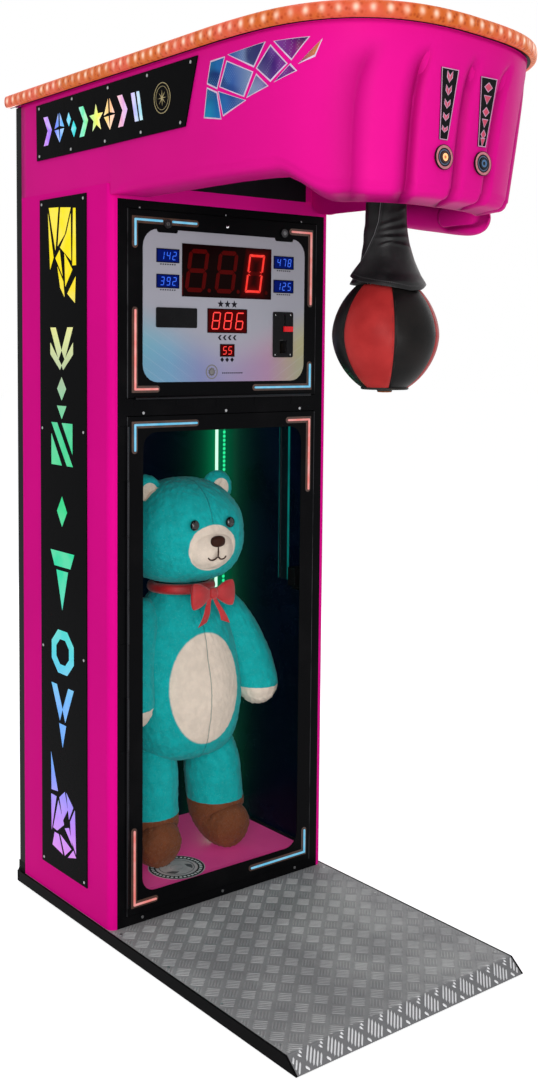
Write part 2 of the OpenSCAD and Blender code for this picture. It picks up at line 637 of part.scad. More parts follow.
module prize_strips() row() {
    color([0.2, 0.65, 0.95]) {
        strip(-edge_x, pd_top - 22, -96, pd_top - 85);
        strip(edge_x, pd_low + 27, 95, pd_low + 89);
    }
    color([0.95, 0.5, 0.45]) {
        strip(edge_x, pd_top - 24, 209, pd_top - 215);
        strip(-edge_x, pd_low + 27, -217, pd_low + 218);
    }
}

// showcase door with its window, and the staple that the lock's bolt goes through
leaf_low = pd_low + door_gap;
leaf_top = pd_top - door_gap;
glass_edge = 14;
bolt_x = leaf_x - 19.5;
bolt_y = 46;
bolt_r = 4;
staple_z = 830;
staple_t = 4;
module window_pts(grow) round_rect(-window_w / 2 - grow, window_w / 2 + grow,
    leaf_low + window_low - grow, leaf_top - window_top + grow, window_r + grow);
module prize_door() color(black) row() {
    difference() {
        leaf(leaf_low, leaf_top);
        plate_y(-9, 9) window_pts(0);
    }
    for (i = [1:2:hinge_n - 1]) {
        z = knuckle_span(ph_z[0], ph_z[1], i);
        difference() {
            rod_z(ph_x, hinge_y, z[0], z[1], knuckle_r);
            rod_z(ph_x, hinge_y, z[0] - 1, z[1] + 1, pin_r + run_gap);
        }
        box(ph_x + knuckle_r - web, ph_x + knuckle_r, hinge_y, skin_y, z[0], z[1]);
    }
    difference() {
        union() {
            box(bolt_x - 9, bolt_x + 7, seat, 2 + seat, staple_z - 16, staple_z + 14);
            box(bolt_x - 9, bolt_x + 7, seat, bolt_y + 10, staple_z - staple_t, staple_z);
        }
        rod_z(bolt_x, bolt_y, staple_z - 9, staple_z + 1, bolt_r + 2);
    }
}
gasket_t = 2;
module glass_gasket() color([0.03, 0.03, 0.03]) row() plate_y(0, gasket_t) difference() {
    window_pts(glass_edge);
    window_pts(2);
}
module prize_glass() color([0.7, 0.8, 0.85, 0.25]) row()
    plate_y(gasket_t, gasket_t + glass_t) window_pts(glass_edge);
bolt_travel = 10;
module lock_box() color(steel) row() difference() {
    box(bolt_x - 15, inner_x - tube - lining_t, frame_d + 2, bolt_y + 18, staple_z + 5, staple_z + 56);
    rod_z(bolt_x, bolt_y, staple_z, staple_z + 46, bolt_r + run_gap);
}
module lock_bolt() color([0.85, 0.85, 0.87]) row()
    rod_z(bolt_x, bolt_y, staple_z + 2.5, staple_z + 44, bolt_r);

// panels on the sides
light_y = [110, 345];
light_z = [108, side_top - 15];
panel_t = 3;
module side_light_panels() color(black) row() pair()
    box(cab_x, cab_x + panel_t, light_y[0], light_y[1], light_z[0], light_z[1]);
sign_z = [wall_top - 155, wall_top - 14];
sign_rear = 355;
sign_gap = 1.2;                               // lets the flat panel bridge the seam's small step
function sign_end(z) = -339 - 56 * (z - sign_z[0]) / (sign_z[1] - sign_z[0]);
function sign_pt(s, g, z) = let (y = sign_rear + s * (sign_end(z) - sign_rear), st = [1, y])
    on_wall(st, g + sign_gap + wall_grow(st, z), z);
module side_sign_panels() color(black) row() pair() bar_loft([for (s = [0:0.1:1])
    [sign_pt(s, 0, sign_z[0]), sign_pt(s, 0, sign_z[1]), sign_pt(s, panel_t, sign_z[1]),
     sign_pt(s, panel_t, sign_z[0])]]);
screw_r = 3.6;
screw_h = 1.4;
module cover_screws() color(steel) row() {
    for (x = [-255, 0, 250], z = [base_h + 13, pd_top + 7]) rod_y(x, -screw_h, 0, z, screw_r);
    pair() for (i = [0:3])
        rod_z(base_w / 2 - 20, -28 - i * (platform_reach - 100) / 3, base_h, base_h + screw_h, screw_r);
    pair() for (y = [light_y[0] + 12, light_y[1] - 12], i = [0:3]) {
        z = light_z[0] + 12 + i * (light_z[1] - light_z[0] - 24) / 3;
        rod_x(cab_x + panel_t, cab_x + panel_t + screw_h, y, z, screw_r);
    }
    pair() for (i = [0:4], z = [sign_z[0] + 10, sign_z[1] - 10]) {
        p = sign_pt(0.025 + i * 0.237, panel_t, z);
        rod_x(p[0] + seat, p[0] + seat + screw_h, p[1], z, screw_r);
    }
}

// head: a moulded wall in the form of a closed hand, with a lid, a frame and a recess for the bag
face_x = [start_x, record_x];
bezel_r = 25;
sleeve_r = button_r + 2;
module head_shell() color(magenta) row() difference() {
    loop_loft(concat([for (k = [0:levels]) wall_ring(k)], [for (a = [30, 60, 90]) fillet_ring(a)],
        [rim_ring(0), rim_ring(wall_t)], [for (k = [0:3]) inner_ring(k)]));
    for (x = face_x) rod_y(x, head_y - head_b, head_y - head_b / 2, button_z, sleeve_r + seat);
}
function rim_low(y) = low_z(y) - 8 * (front_share(y) - 0.04);
thumb_r = 38;
module thumb_moulding() color(magenta) row() difference() {
    hull() {
        for (b = [[85, -154, 1, 0, 28], [107, -138, 7, 4, 24], [77, 54, 21, 4, 24], [71, 188, 41, 14, 20]])
            translate([head_a - b[0], head_y + b[1], knuckle_low + b[2]]) sphere(thumb_r - b[3], $fn = b[4]);
    }
    for (c = [[225, 100, 3 * rim_w], [101, -25, rim_w]]) plate_x(head_a - c[0], head_a - c[1])
        polygon(concat([for (y = [-800:20:-100]) [y, rim_low(y - c[2]) - seat]],
            [[-100, wall_top], [-800, wall_top]]));
}
function lid_outline(g) = [for (st = stations([cab_d + rear_depth, 0, head_y / 2], 5)) head_xy(st, g)];
lid_top = wall_top + trim_h + 2;
module head_cover() color(magenta) row() difference() {
    plate_z(wall_top, lid_top) polygon(lid_outline(1));
    intersection() {
        plate_z(wall_top - 1, lid_top - 3) polygon(lid_outline(-2));
        box(-head_a, head_a, head_y - head_b, cab_d + rear_depth - 3, wall_top - 2, lid_top);
    }
}
// light trim: a channel that carries the lamps, and a stepped lens in front of it
trim_z = wall_top + 1;
web_in = 1.3;
web_out = 3.3;
flange = 1.5;
channel_out = 8;
lens_step = 3;
lens_t = 2;
function trim_outline(g) = [for (st = trim_stations) head_xy(st, g)];
module trim_ring(g0, g1, z0, z1) plate_z(trim_z + z0, trim_z + z1) polygon(concat(trim_outline(g1),
    [for (i = [len(trim_stations) - 1:-1:0]) trim_outline(g0)[i]]));
led_pitch = 33;
led_size = [3, 12, 12];
trim_path = trim_outline(web_out);
function path_len(i) = i == 0 ? 0 : path_len(i - 1) + norm(trim_path[i] - trim_path[i - 1]);
path_at = [for (i = [0:len(trim_path) - 1]) path_len(i)];
function along(s, axis) = lookup(s, [for (i = [0:len(trim_path) - 1]) [path_at[i], trim_path[i][axis]]]);
module trim_channel() row() {
    color(steel) {
        trim_ring(web_in, web_out, 0, trim_h);
        trim_ring(web_in, channel_out, 0, flange);
        trim_ring(web_in, channel_out, trim_h - flange, trim_h);
    }
    color([1, 0.75, 0.5]) for (s = [led_pitch / 2:led_pitch:path_at[len(path_at) - 1] - 10])
        translate([along(s, 0), along(s, 1), trim_z + trim_h / 2])
            rotate(atan2(along(s + 4, 1) - along(s - 4, 1), along(s + 4, 0) - along(s - 4, 0)) - 90)
                translate([-0.5, -led_size[1] / 2, -led_size[2] / 2]) cube(led_size);
}
module trim_lens() color([1, 0.55, 0.35]) row() {
    for (up = [false, true], i = [0, 1]) {
        z = up ? trim_h - (i + 1) * lens_step : i * lens_step;
        inner = i == 0 ? channel_out + seat : trim_reach - 6 - lens_t;
        trim_ring(inner, trim_reach - 6 + 4 * i, z, z + lens_step);
    }
    trim_ring(trim_reach - lens_t - 2, trim_reach, 2 * lens_step, trim_h - 2 * lens_step);
}
module head_frame() color(steel) row() {
    x0 = inner_x - tube;
    pair() difference() {
        box(x0, inner_x, pivot_y - tube / 2, cab_d - 10, post_z, post_z + tube);
        box(x0 + 2, inner_x - 2, pivot_y + 2 - tube / 2, cab_d - 12, post_z + 2, post_z + tube - 2);
    }
    for (y = [pivot_y - tube / 2, pivot_y / 2, cab_d / 2])
        box(-x0, x0, y, y + tube, post_z, post_z + tube);
}
liner_t = 3;
function liner_pt(st, g, z) = let (grow = rim_grow(-100) + lean(-100) - lean(head_xy(st, 0)[1]) - 2 - g,
    p = head_xy(st, grow)) [p[0], p[1] - (st[1] == 0 && st[0] != 0 ? g : 0), z];
liner_stations = stations([0, -25, -70, head_y / 3, head_y * 5 / 9, head_y * 7 / 9], 5);
module recess_liner() color([0.03, 0.03, 0.04]) row() {
    loop_loft([for (r = [[0, 1], [0, 0], [liner_t, 0], [liner_t, 1]]) [for (st = liner_stations)
        liner_pt(st, r[0], r[1] == 0 ? rim_low(head_xy(st, 0)[1]) : ceil_z)]]);
    plate_z(ceil_z, post_z) polygon([for (st = liner_stations) let (p = liner_pt(st, 0, 0)) [p[0], p[1]]]);
}
module lintel_panel() color(magenta) row() difference() {
    box(-inner_x, inner_x, 0, side_t - 2, frame_top, side_top);
    box(3 - inner_x, inner_x - 3, 3, side_t, frame_top - 1, side_top - 3);
}

// bag mechanism: bracket with two bearings, live shaft with a slotted disc, arm, bag and sleeve
cheek_x = 62;
cheek_t = 6;
disc_x = 90;
disc_r = 38;
module pivot_bracket() row() {
    color(steel) {
        pair() difference() {
            plate_x(cheek_x, cheek_x + cheek_t) translate([pivot_y, 0])
                polygon([[-45, ceil_z - 6], [45, ceil_z - 6], [26, pivot_z - 20], [-26, pivot_z - 20]]);
            rod_x(0, 200, pivot_y, pivot_z, shaft_r + 4);
        }
        box(-cheek_x - cheek_t, cheek_x + cheek_t, pivot_y - 45, pivot_y + 45, ceil_z - 6, ceil_z);
    }
    color([0.5, 0.5, 0.52]) pair() difference() {
        union() {
            rod_x(cheek_x + cheek_t, cheek_x + cheek_t + 10, pivot_y, pivot_z, 19);
            rod_x(cheek_x, cheek_x + cheek_t, pivot_y, pivot_z, shaft_r + 4);
        }
        rod_x(0, 200, pivot_y, pivot_z, shaft_r + run_gap);
    }
    color(black) translate([0, pivot_y, pivot_z + disc_r]) difference() {
        union() {
            box(cheek_x + cheek_t, disc_x + 8, -10, 10, 12, 16);
            box(disc_x - 6, disc_x + 8, -7, 7, -10, 13);
        }
        box(disc_x - 2, disc_x + 4, -8, 8, -11, 4);
    }
}
module pivot_shaft() color([0.8, 0.8, 0.82]) row() {
    rod_x(-cheek_x - cheek_t - 14, disc_x + 5, pivot_y, pivot_z, shaft_r);
    difference() {
        rod_x(disc_x, disc_x + 2, pivot_y, pivot_z, disc_r);
        rod_x(disc_x - 1, disc_x + 3, pivot_y, pivot_z, shaft_r - 0.5);
        for (a = [0:20:340]) translate([0, pivot_y, pivot_z]) rotate([a, 0, 0])
            box(disc_x - 1, disc_x + 3, -1.5, 1.5, disc_r - 9, disc_r - 2);
    }
}
flat_z = bag_z + bag_r - 8;                   // flat on top of the bag, under the arm's plate
plate_z0 = flat_z;
catch_out = 105;
module bag_arm() color(steel) row() difference() {
    union() {
        rod_x(-30, 30, pivot_y, pivot_z, shaft_r + 11);
        rod_z(0, pivot_y, plate_z0 + 3, pivot_z, arm_r);
        rod_z(0, pivot_y, plate_z0, plate_z0 + 6, 42);
        rod_x(0, 68, pivot_y, pivot_z - catch_out, 4);
    }
    rod_x(-40, 40, pivot_y, pivot_z, shaft_r);
}
// the bag is round across and a little longer upright, with a flat foot and a round patch under it
bag_foot = bag_r - 4;
function bag_half(z) = bag_r * pow(1 - pow(abs(z) / (z > 0 ? bag_r + 20 : bag_r + 15), 1.8), 1 / 1.8);
module punch_bag() color([0.12, 0.02, 0.02]) row() translate([0, pivot_y, bag_z]) rotate_extrude()
    polygon(concat([[0, bag_r - 8]],
        [for (i = [0:24]) let (z = bag_r - 8 - i * (bag_r - 8 + bag_foot) / 24) [bag_half(z), z]],
        [[18.5, -bag_foot], [18.5, -bag_foot - 4], [0, -bag_foot - 4]]));
sleeve_top = pivot_z - 112;
module bag_sleeve() color(black) row() translate([0, pivot_y, 0]) rotate_extrude() {
    z = plate_z0;
    polygon([[arm_r + seat, sleeve_top], [42, sleeve_top], [46, z + 140], [50, z + 92], [56, z + 50],
             [66, z + 26], [79, z + 5], [86, z - 9], [85, z - 15], [82, z - 15], [70, z + 3], [44, z + 3],
             [44, z + 8], [arm_r + seat, z + 10]]);
}
hook = [pivot_y + 160, pivot_z + 80];         // pivot of the latch, as depth and height
hook_x = 58;
hook_open = 35;
hook_pin_r = 4;
module bag_latch() color([0.8, 0.8, 0.82]) row() translate([0, hook[0], hook[1]]) rotate([hook_open, 0, 0])
    difference() {
        union() {
            rod_x(hook_x, hook_x + 6, 0, 0, 10);
            plate_x(hook_x, hook_x + 6) polygon([[7, 3], [7, -10], [-30, -78], [-30, -97], [-64, -97],
                [-64, -88], [-44, -85.5], [-44, -76], [-7, 3]]);
        }
        rod_x(hook_x - 1, hook_x + 7, 0, 0, hook_pin_r + run_gap);
    }
module latch_solenoid() row() {
    color([0.75, 0.6, 0.2]) box(hook_x + 12, hook_x + 50, hook[0] - 25, hook[0] + 25, hook[1] - 25, ceil_z);
    color(steel) rod_x(hook_x - 3, hook_x + 12, hook[0], hook[1], hook_pin_r);
    color(steel) rod_x(hook_x + 6.5, hook_x + 12, hook[0], hook[1], 7);
}

// play buttons on the front, with their bezels and tapered plates
function face_y(x, z, r) = min([for (i = [-1:1], j = [-1:1]) front_wall(x + i * r, z + j * r)]) - seat;
module play_button(x) {
    y = face_y(x, button_z, bezel_r);
    difference() {
        union() {
            rod_y(x, y - 7, y + 16, button_z, button_r);
            rod_y(x, y + 14, y + 22, button_z, button_r * 0.6);
        }
        rod_y(x, y - 8, y - 6.2, button_z, button_r - 4);
    }
}
module start_button() color([0.95, 0.35, 0.2]) row() play_button(start_x);
module record_button() color([0.2, 0.4, 0.6]) row() play_button(record_x);
function plate_ring(x, z, w) = let (y = min([for (i = [-1:1]) front_wall(x + i * w / 2, z)]) - 2 * seat)
    [[x - w / 2, y, z], [x + w / 2, y, z], [x + w / 2, y - 2, z], [x - w / 2, y - 2, z]];
module button_plates() row() for (x = face_x) {
    y = face_y(x, button_z, bezel_r);
    color([0.75, 0.5, 0.6]) difference() {
        union() {
            rod_y(x, y - 4, y, button_z, bezel_r);
            rod_y(x, y - 1, y + 26, button_z, sleeve_r);
        }
        rod_y(x, y - 5, y + 27, button_z, button_r + 0.1);
    }
    color(black) bar_loft([for (k = [0:6]) plate_ring(x - 4, button_z + 34 + k * 23, 23 + k * 26 / 6)]);
}
module control_board() row() {
    z = lining_top + 12;
    color([0.1, 0.4, 0.2]) {
        box(-200, 20, 180, 330, z + 8, z + 10);
        for (x = [-190, 4], y = [190, 314]) rod_z(x + 3, y + 3, z, z + 8, 4);
    }
    color(black) for (b = [[-170, 200, 40, 40, 9], [-110, 200, 30, 30, 5], [-60, 210, 60, 14, 12],
            [-170, 270, 14, 50, 14], [-130, 280, 24, 24, 18], [-60, 270, 50, 34, 6]])
        box(b[0], b[0] + b[2], b[1], b[1] + b[3], z + 10, z + 10 + b[4]);
    color(steel) difference() {
        box(80, 220, 190, 320, z, z + 50);
        for (i = [0:7]) box(96 + i * 14, 102 + i * 14, 200, 310, z + 47, z + 51);
    }
}

// plush bear on the showcase floor: lofts that swell and taper along a path
bear_y = 205;
module stuffed(path, r, deep = 1) {
    n = len(path);
    bar_loft([for (i = [0:n - 1])
        let (a = path[max(0, i - 1)], b = path[min(n - 1, i + 1)], d = (b - a) / norm(b - a),
             u = cross(d, [1, 0, 0]) / norm(cross(d, [1, 0, 0])), v = cross(d, u))
        [for (t = [0:24:359]) path[i] + r[i] * (cos(t) * deep * u - sin(t) * v)]]);
}
bear_s = bear_h / 1060;
function bear(x, y, z) = [x * bear_s, bear_y + y * bear_s, floor_z + seat + z * bear_s];
module teddy(path, r, deep = 1)
    stuffed([for (p = path) bear(p[0], p[1], p[2])], [for (v = r) v * bear_s], deep);
module body_form() teddy([for (z = [262, 272, 310, 380, 460, 540, 620, 690, 742, 756]) [0, 0, z]],
    [30, 90, 148, 176, 182, 172, 150, 120, 82, 30], 0.8);
module bear_body() color([0.1, 0.62, 0.66]) row() body_form();
module bear_head() color([0.1, 0.62, 0.66]) row() {
    teddy([for (z = [756 + seat, 766, 800, 850, 905, 955, 1000, 1030, 1042]) [0, -10, z]],
        [40, 92, 148, 172, 176, 164, 128, 76, 20], 0.86);
    for (x = [-1, 1]) translate(bear(x * 118, -6, 1008)) sphere(48 * bear_s);
    translate(bear(0, -112, 866)) sphere(62 * bear_s);
}
module limb(side, path, r) difference() {
    teddy([for (p = path) [side * p[0], p[1], p[2]]], r);
    body_form();
    box(-cab_x, cab_x, 0, cab_d, floor_z - 50, floor_z + seat);
}
arm_path = [[96, 0, 700], [118, -4, 690], [146, -14, 650], [178, -32, 590], [200, -56, 520], [208, -80, 455],
    [206, -94, 420], [204, -98, 408]];
arm_radii = [14, 40, 56, 60, 62, 58, 38, 10];
leg_path = [[84, 0, 330], [94, -2, 300], [104, -6, 240], [110, -12, 160], [112, -22, 96], [114, -46, 62],
    [116, -90, 60], [116, -124, 56], [116, -140, 54]];
leg_radii = [30, 66, 80, 80, 76, 68, 64, 48, 12];
module bear_arm_left() color([0.1, 0.62, 0.66]) row() limb(-1, arm_path, arm_radii);
module bear_arm_right() color([0.1, 0.62, 0.66]) row() limb(1, arm_path, arm_radii);
module bear_leg_left() color([0.1, 0.62, 0.66]) row() limb(-1, leg_path, leg_radii);
module bear_leg_right() color([0.1, 0.62, 0.66]) row() limb(1, leg_path, leg_radii);

base_frame();
tread_plate();
rubber_feet();
transport_wheels();
side_panel_left();
side_panel_right();
cabinet_frame();
rear_cover();
service_door();
power_inlet();
power_switch();
showcase_lining();
showcase_floor();
display_shelf();
front_frame();
cover_screws();
display_door();
display_plate();
score_display();
counter_displays();
coin_plate();
coin_mech();
reject_button();
lock_barrels();
lock_cam_left();
lock_cam_right();
display_strips();
prize_door();
prize_glass();
glass_gasket();
prize_strips();
lock_box();
lock_bolt();
side_light_panels();
side_sign_panels();
head_shell();
thumb_moulding();
head_cover();
trim_channel();
trim_lens();
head_frame();
recess_liner();
lintel_panel();
pivot_bracket();
pivot_shaft();
bag_arm();
punch_bag();
bag_sleeve();
bag_latch();
latch_solenoid();
start_button();
record_button();
button_plates();
control_board();
bear_body();
bear_head();
bear_arm_left();
bear_arm_right();
bear_leg_left();
bear_leg_right();
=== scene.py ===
# Boxing machine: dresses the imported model, adds the moulded head, leather, plush and lamps, and sets the camera.
import json
import math

import bmesh
import bpy
import numpy as np
from mathutils import Matrix, Vector

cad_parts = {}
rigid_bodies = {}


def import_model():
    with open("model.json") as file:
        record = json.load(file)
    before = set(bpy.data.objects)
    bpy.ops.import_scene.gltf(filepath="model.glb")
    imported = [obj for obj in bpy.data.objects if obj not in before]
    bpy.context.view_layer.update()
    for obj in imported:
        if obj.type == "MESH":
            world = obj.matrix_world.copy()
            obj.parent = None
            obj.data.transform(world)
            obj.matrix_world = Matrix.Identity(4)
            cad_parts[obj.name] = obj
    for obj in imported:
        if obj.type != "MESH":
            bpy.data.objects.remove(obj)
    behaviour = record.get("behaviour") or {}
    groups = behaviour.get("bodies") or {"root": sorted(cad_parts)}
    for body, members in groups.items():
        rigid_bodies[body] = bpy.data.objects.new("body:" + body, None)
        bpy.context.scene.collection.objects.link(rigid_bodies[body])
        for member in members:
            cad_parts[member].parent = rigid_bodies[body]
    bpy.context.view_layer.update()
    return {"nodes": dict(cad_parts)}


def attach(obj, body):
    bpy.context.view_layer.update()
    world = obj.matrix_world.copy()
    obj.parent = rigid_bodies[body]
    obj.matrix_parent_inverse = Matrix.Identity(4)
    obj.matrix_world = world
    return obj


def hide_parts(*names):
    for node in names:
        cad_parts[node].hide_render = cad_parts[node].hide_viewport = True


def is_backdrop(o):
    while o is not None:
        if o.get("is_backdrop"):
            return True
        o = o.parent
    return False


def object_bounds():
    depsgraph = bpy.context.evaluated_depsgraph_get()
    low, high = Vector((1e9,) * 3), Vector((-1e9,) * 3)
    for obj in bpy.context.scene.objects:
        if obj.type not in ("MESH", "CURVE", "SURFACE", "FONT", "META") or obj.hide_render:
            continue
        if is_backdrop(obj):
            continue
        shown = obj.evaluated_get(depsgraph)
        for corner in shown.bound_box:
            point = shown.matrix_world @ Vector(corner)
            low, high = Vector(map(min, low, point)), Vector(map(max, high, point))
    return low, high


for item in list(bpy.data.objects):
    bpy.data.objects.remove(item)
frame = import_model()
nodes = frame["nodes"]
print("frame loaded:", len(nodes), "nodes")

# The numbers below are millimetres in the cabinet's frame: y = 0 is the plane of the black front, +y is
# the back. The model's own frame lies frontShift further back, in metres.
frontShift = 188.0
cabinet = dict(x=350.0, depth=449.0, panelTop=1890.0)
sides = ((-1, "Left"), (1, "Right"))


def place(points):
    # millimetres in the cabinet's frame to metres in the model's frame
    return (np.asarray(points, float) + (0, frontShift, 0)) / 1000


def scaled(colour, share):
    return tuple(v * share for v in colour)


def unit(v):
    return v / np.maximum(np.linalg.norm(v, axis=-1, keepdims=True), 1e-6)


def smooth(u):
    # 3u^2 - 2u^3 between 0 and 1
    u = np.clip(u, 0, 1)
    return u * u * (3 - 2 * u)


def roundedEnd(u, least=0.0):
    # 1 up to u = 0, then down a quarter circle to u = 1
    return np.sqrt(np.clip(1 - np.clip(u, 0, 1) ** 2, least, 1))


def aroundOnce(count):
    return np.linspace(0, 2 * np.pi, count, endpoint=False)


def curveThrough(points, count):
    # Catmull-Rom curve through the points, at count even steps of its parameter
    p = np.asarray(points, float).reshape(len(points), -1)
    p = np.vstack([2 * p[0] - p[1], p, 2 * p[-1] - p[-2]])
    s = np.linspace(0, len(p) - 3 - 1e-9, count)
    i = s.astype(int)
    t = (s - i)[:, None]
    a, b, c, d = p[i], p[i + 1], p[i + 2], p[i + 3]
    return 0.5 * (2 * b + (c - a) * t + (2 * a - 5 * b + 4 * c - d) * t ** 2 + (3 * b - a - 3 * c + d) * t ** 3)


def tubeRound(centre, radius, cols, lead, deep=1.0):
    # ring(t, a) = centre + radius (cos a deep u - sin a v), u and v square to the path, u square to the lead as well
    along = unit(np.gradient(centre, axis=0))
    u = unit(np.cross(along, lead))
    v = np.cross(along, u)
    a = aroundOnce(cols)[None, :, None]
    return centre[:, None] + radius[:, None, None] * (np.cos(a) * deep * u[:, None] - np.sin(a) * v[:, None])


def gridFaces(rows, cols, loopRows=False, loopCols=False):
    # quads over a rows by cols grid of points numbered row by row
    r = np.arange(rows if loopRows else rows - 1)[:, None]
    c = np.arange(cols if loopCols else cols - 1)[None, :]
    nextR, nextC = (r + 1) % rows, (c + 1) % cols
    return np.stack([r * cols + c, r * cols + nextC, nextR * cols + nextC, nextR * cols + c], -1).reshape(-1, 4)


def makePiece(name, points, faces, body, finish, closed=True, uv=None, soft=True):
    # points in millimetres and faces as arrays; doubles are merged, and a closed form gets outward normals
    mesh = bpy.data.meshes.new(name)
    faces = faces.tolist() if isinstance(faces, np.ndarray) else faces
    mesh.from_pydata(place(points).tolist(), [], faces)
    if uv is not None:
        corner = np.zeros(len(mesh.loops), int)
        mesh.loops.foreach_get("vertex_index", corner)
        mesh.uv_layers.new(name="along").data.foreach_set("uv", np.asarray(uv, float)[corner].ravel())
    mesh.materials.append(finish)
    build = bmesh.new()
    build.from_mesh(mesh)
    bmesh.ops.remove_doubles(build, verts=build.verts, dist=2e-6)
    if closed:
        bmesh.ops.recalc_face_normals(build, faces=build.faces)
    for face in build.faces:
        face.smooth = soft
    build.to_mesh(mesh)
    build.free()
    piece = bpy.data.objects.new(name, mesh)
    bpy.context.scene.collection.objects.link(piece)
    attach(piece, body)
    return piece


def ownMap(depths):
    # a map whose first number says how deep each point lies in a hollow
    return np.stack([depths.ravel(), depths.ravel() * 0], -1)


def gridPiece(name, grid, body, finish, loopRows=False, loopCols=True, **more):
    faces = gridFaces(*grid.shape[:2], loopRows, loopCols)
    return makePiece(name, grid.reshape(-1, 3), faces, body, finish, **more)


def modify(piece, kind, **settings):
    modifier = piece.modifiers.new(kind.title(), kind)
    for key, value in settings.items():
        setattr(modifier, key, value)


# materials: a wrapped socket that takes arithmetic, and a builder of node trees
class Wire:
    def __init__(self, tree, out):
        self.tree, self.out = tree, out

    def calc(self, operation, *values, clamp=False):
        node = self.tree.nodes.new("ShaderNodeMath")
        node.operation, node.use_clamp = operation, clamp
        for slot, value in zip(node.inputs, values):
            feed(self.tree, slot, value)
        return Wire(self.tree, node.outputs[0])

    def __add__(self, other):
        return self.calc("ADD", self, other)

    def __sub__(self, other):
        return self.calc("SUBTRACT", self, other)

    def __rsub__(self, other):
        return self.calc("SUBTRACT", other, self)

    def __mul__(self, other):
        return self.calc("MULTIPLY", self, other)

    def __truediv__(self, other):
        return self.calc("DIVIDE", self, other)

    def __pow__(self, other):
        return self.calc("POWER", self, other)

    def __gt__(self, other):
        return self.calc("GREATER_THAN", self, other)

    def __lt__(self, other):
        return self.calc("LESS_THAN", self, other)

    def __abs__(self):
        return self.calc("ABSOLUTE", self)

    def __mod__(self, other):
        return self.calc("FLOORED_MODULO", self, other)

    __radd__ = __add__
    __rmul__ = __mul__

    def clip(self):
        return self.calc("ADD", self, 0.0, clamp=True)

    def least(self, other):
        return self.calc("MINIMUM", self, other)

    def most(self, other):
        return self.calc("MAXIMUM", self, other)

    def sine(self):
        return self.calc("SINE", self)

    def exp(self):
        return self.calc("EXPONENT", self)

    def within(self, low, high):
        # 1 between low and high, 0 outside
        return (self > low) * (self < high)


def feed(tree, slot, value):
    if isinstance(value, Wire):
        tree.links.new(value.out, slot)
    elif value is not None:
        if slot.type == "RGBA" and len(value) == 3:
            value = (*value, 1.0)
        slot.default_value = value


class NodeTree:
    def __init__(self, owner, endKind):
        owner.use_nodes = True
        self.tree = owner.node_tree
        self.tree.nodes.clear()
        self.end = self.tree.nodes.new(endKind)

    def node(self, kind, settings=None, inputs=None, output=0):
        made = self.tree.nodes.new(kind)
        for key, value in (settings or {}).items():
            if key == "stops":
                ramp = made.color_ramp
                while len(ramp.elements) < len(value):
                    ramp.elements.new(0.5)
                for element, (position, colour) in zip(ramp.elements, value):
                    element.position, element.color = position, (*colour, 1.0)
            else:
                setattr(made, key, value)
        for key, value in (inputs or {}).items():
            feed(self.tree, made.inputs[key], value)
        return Wire(self.tree, made.outputs[output])

    def finish(self, shader):
        self.tree.links.new(shader.out, self.end.inputs[0])

    def seenPlainly(self):
        # 1 for what the camera sees straight, in a reflection or through glass
        straight, mirrored, through = (self.node("ShaderNodeLightPath", output="Is %s Ray" % kind)
                                       for kind in ("Camera", "Glossy", "Transmission"))
        return straight.most(mirrored).most(through)


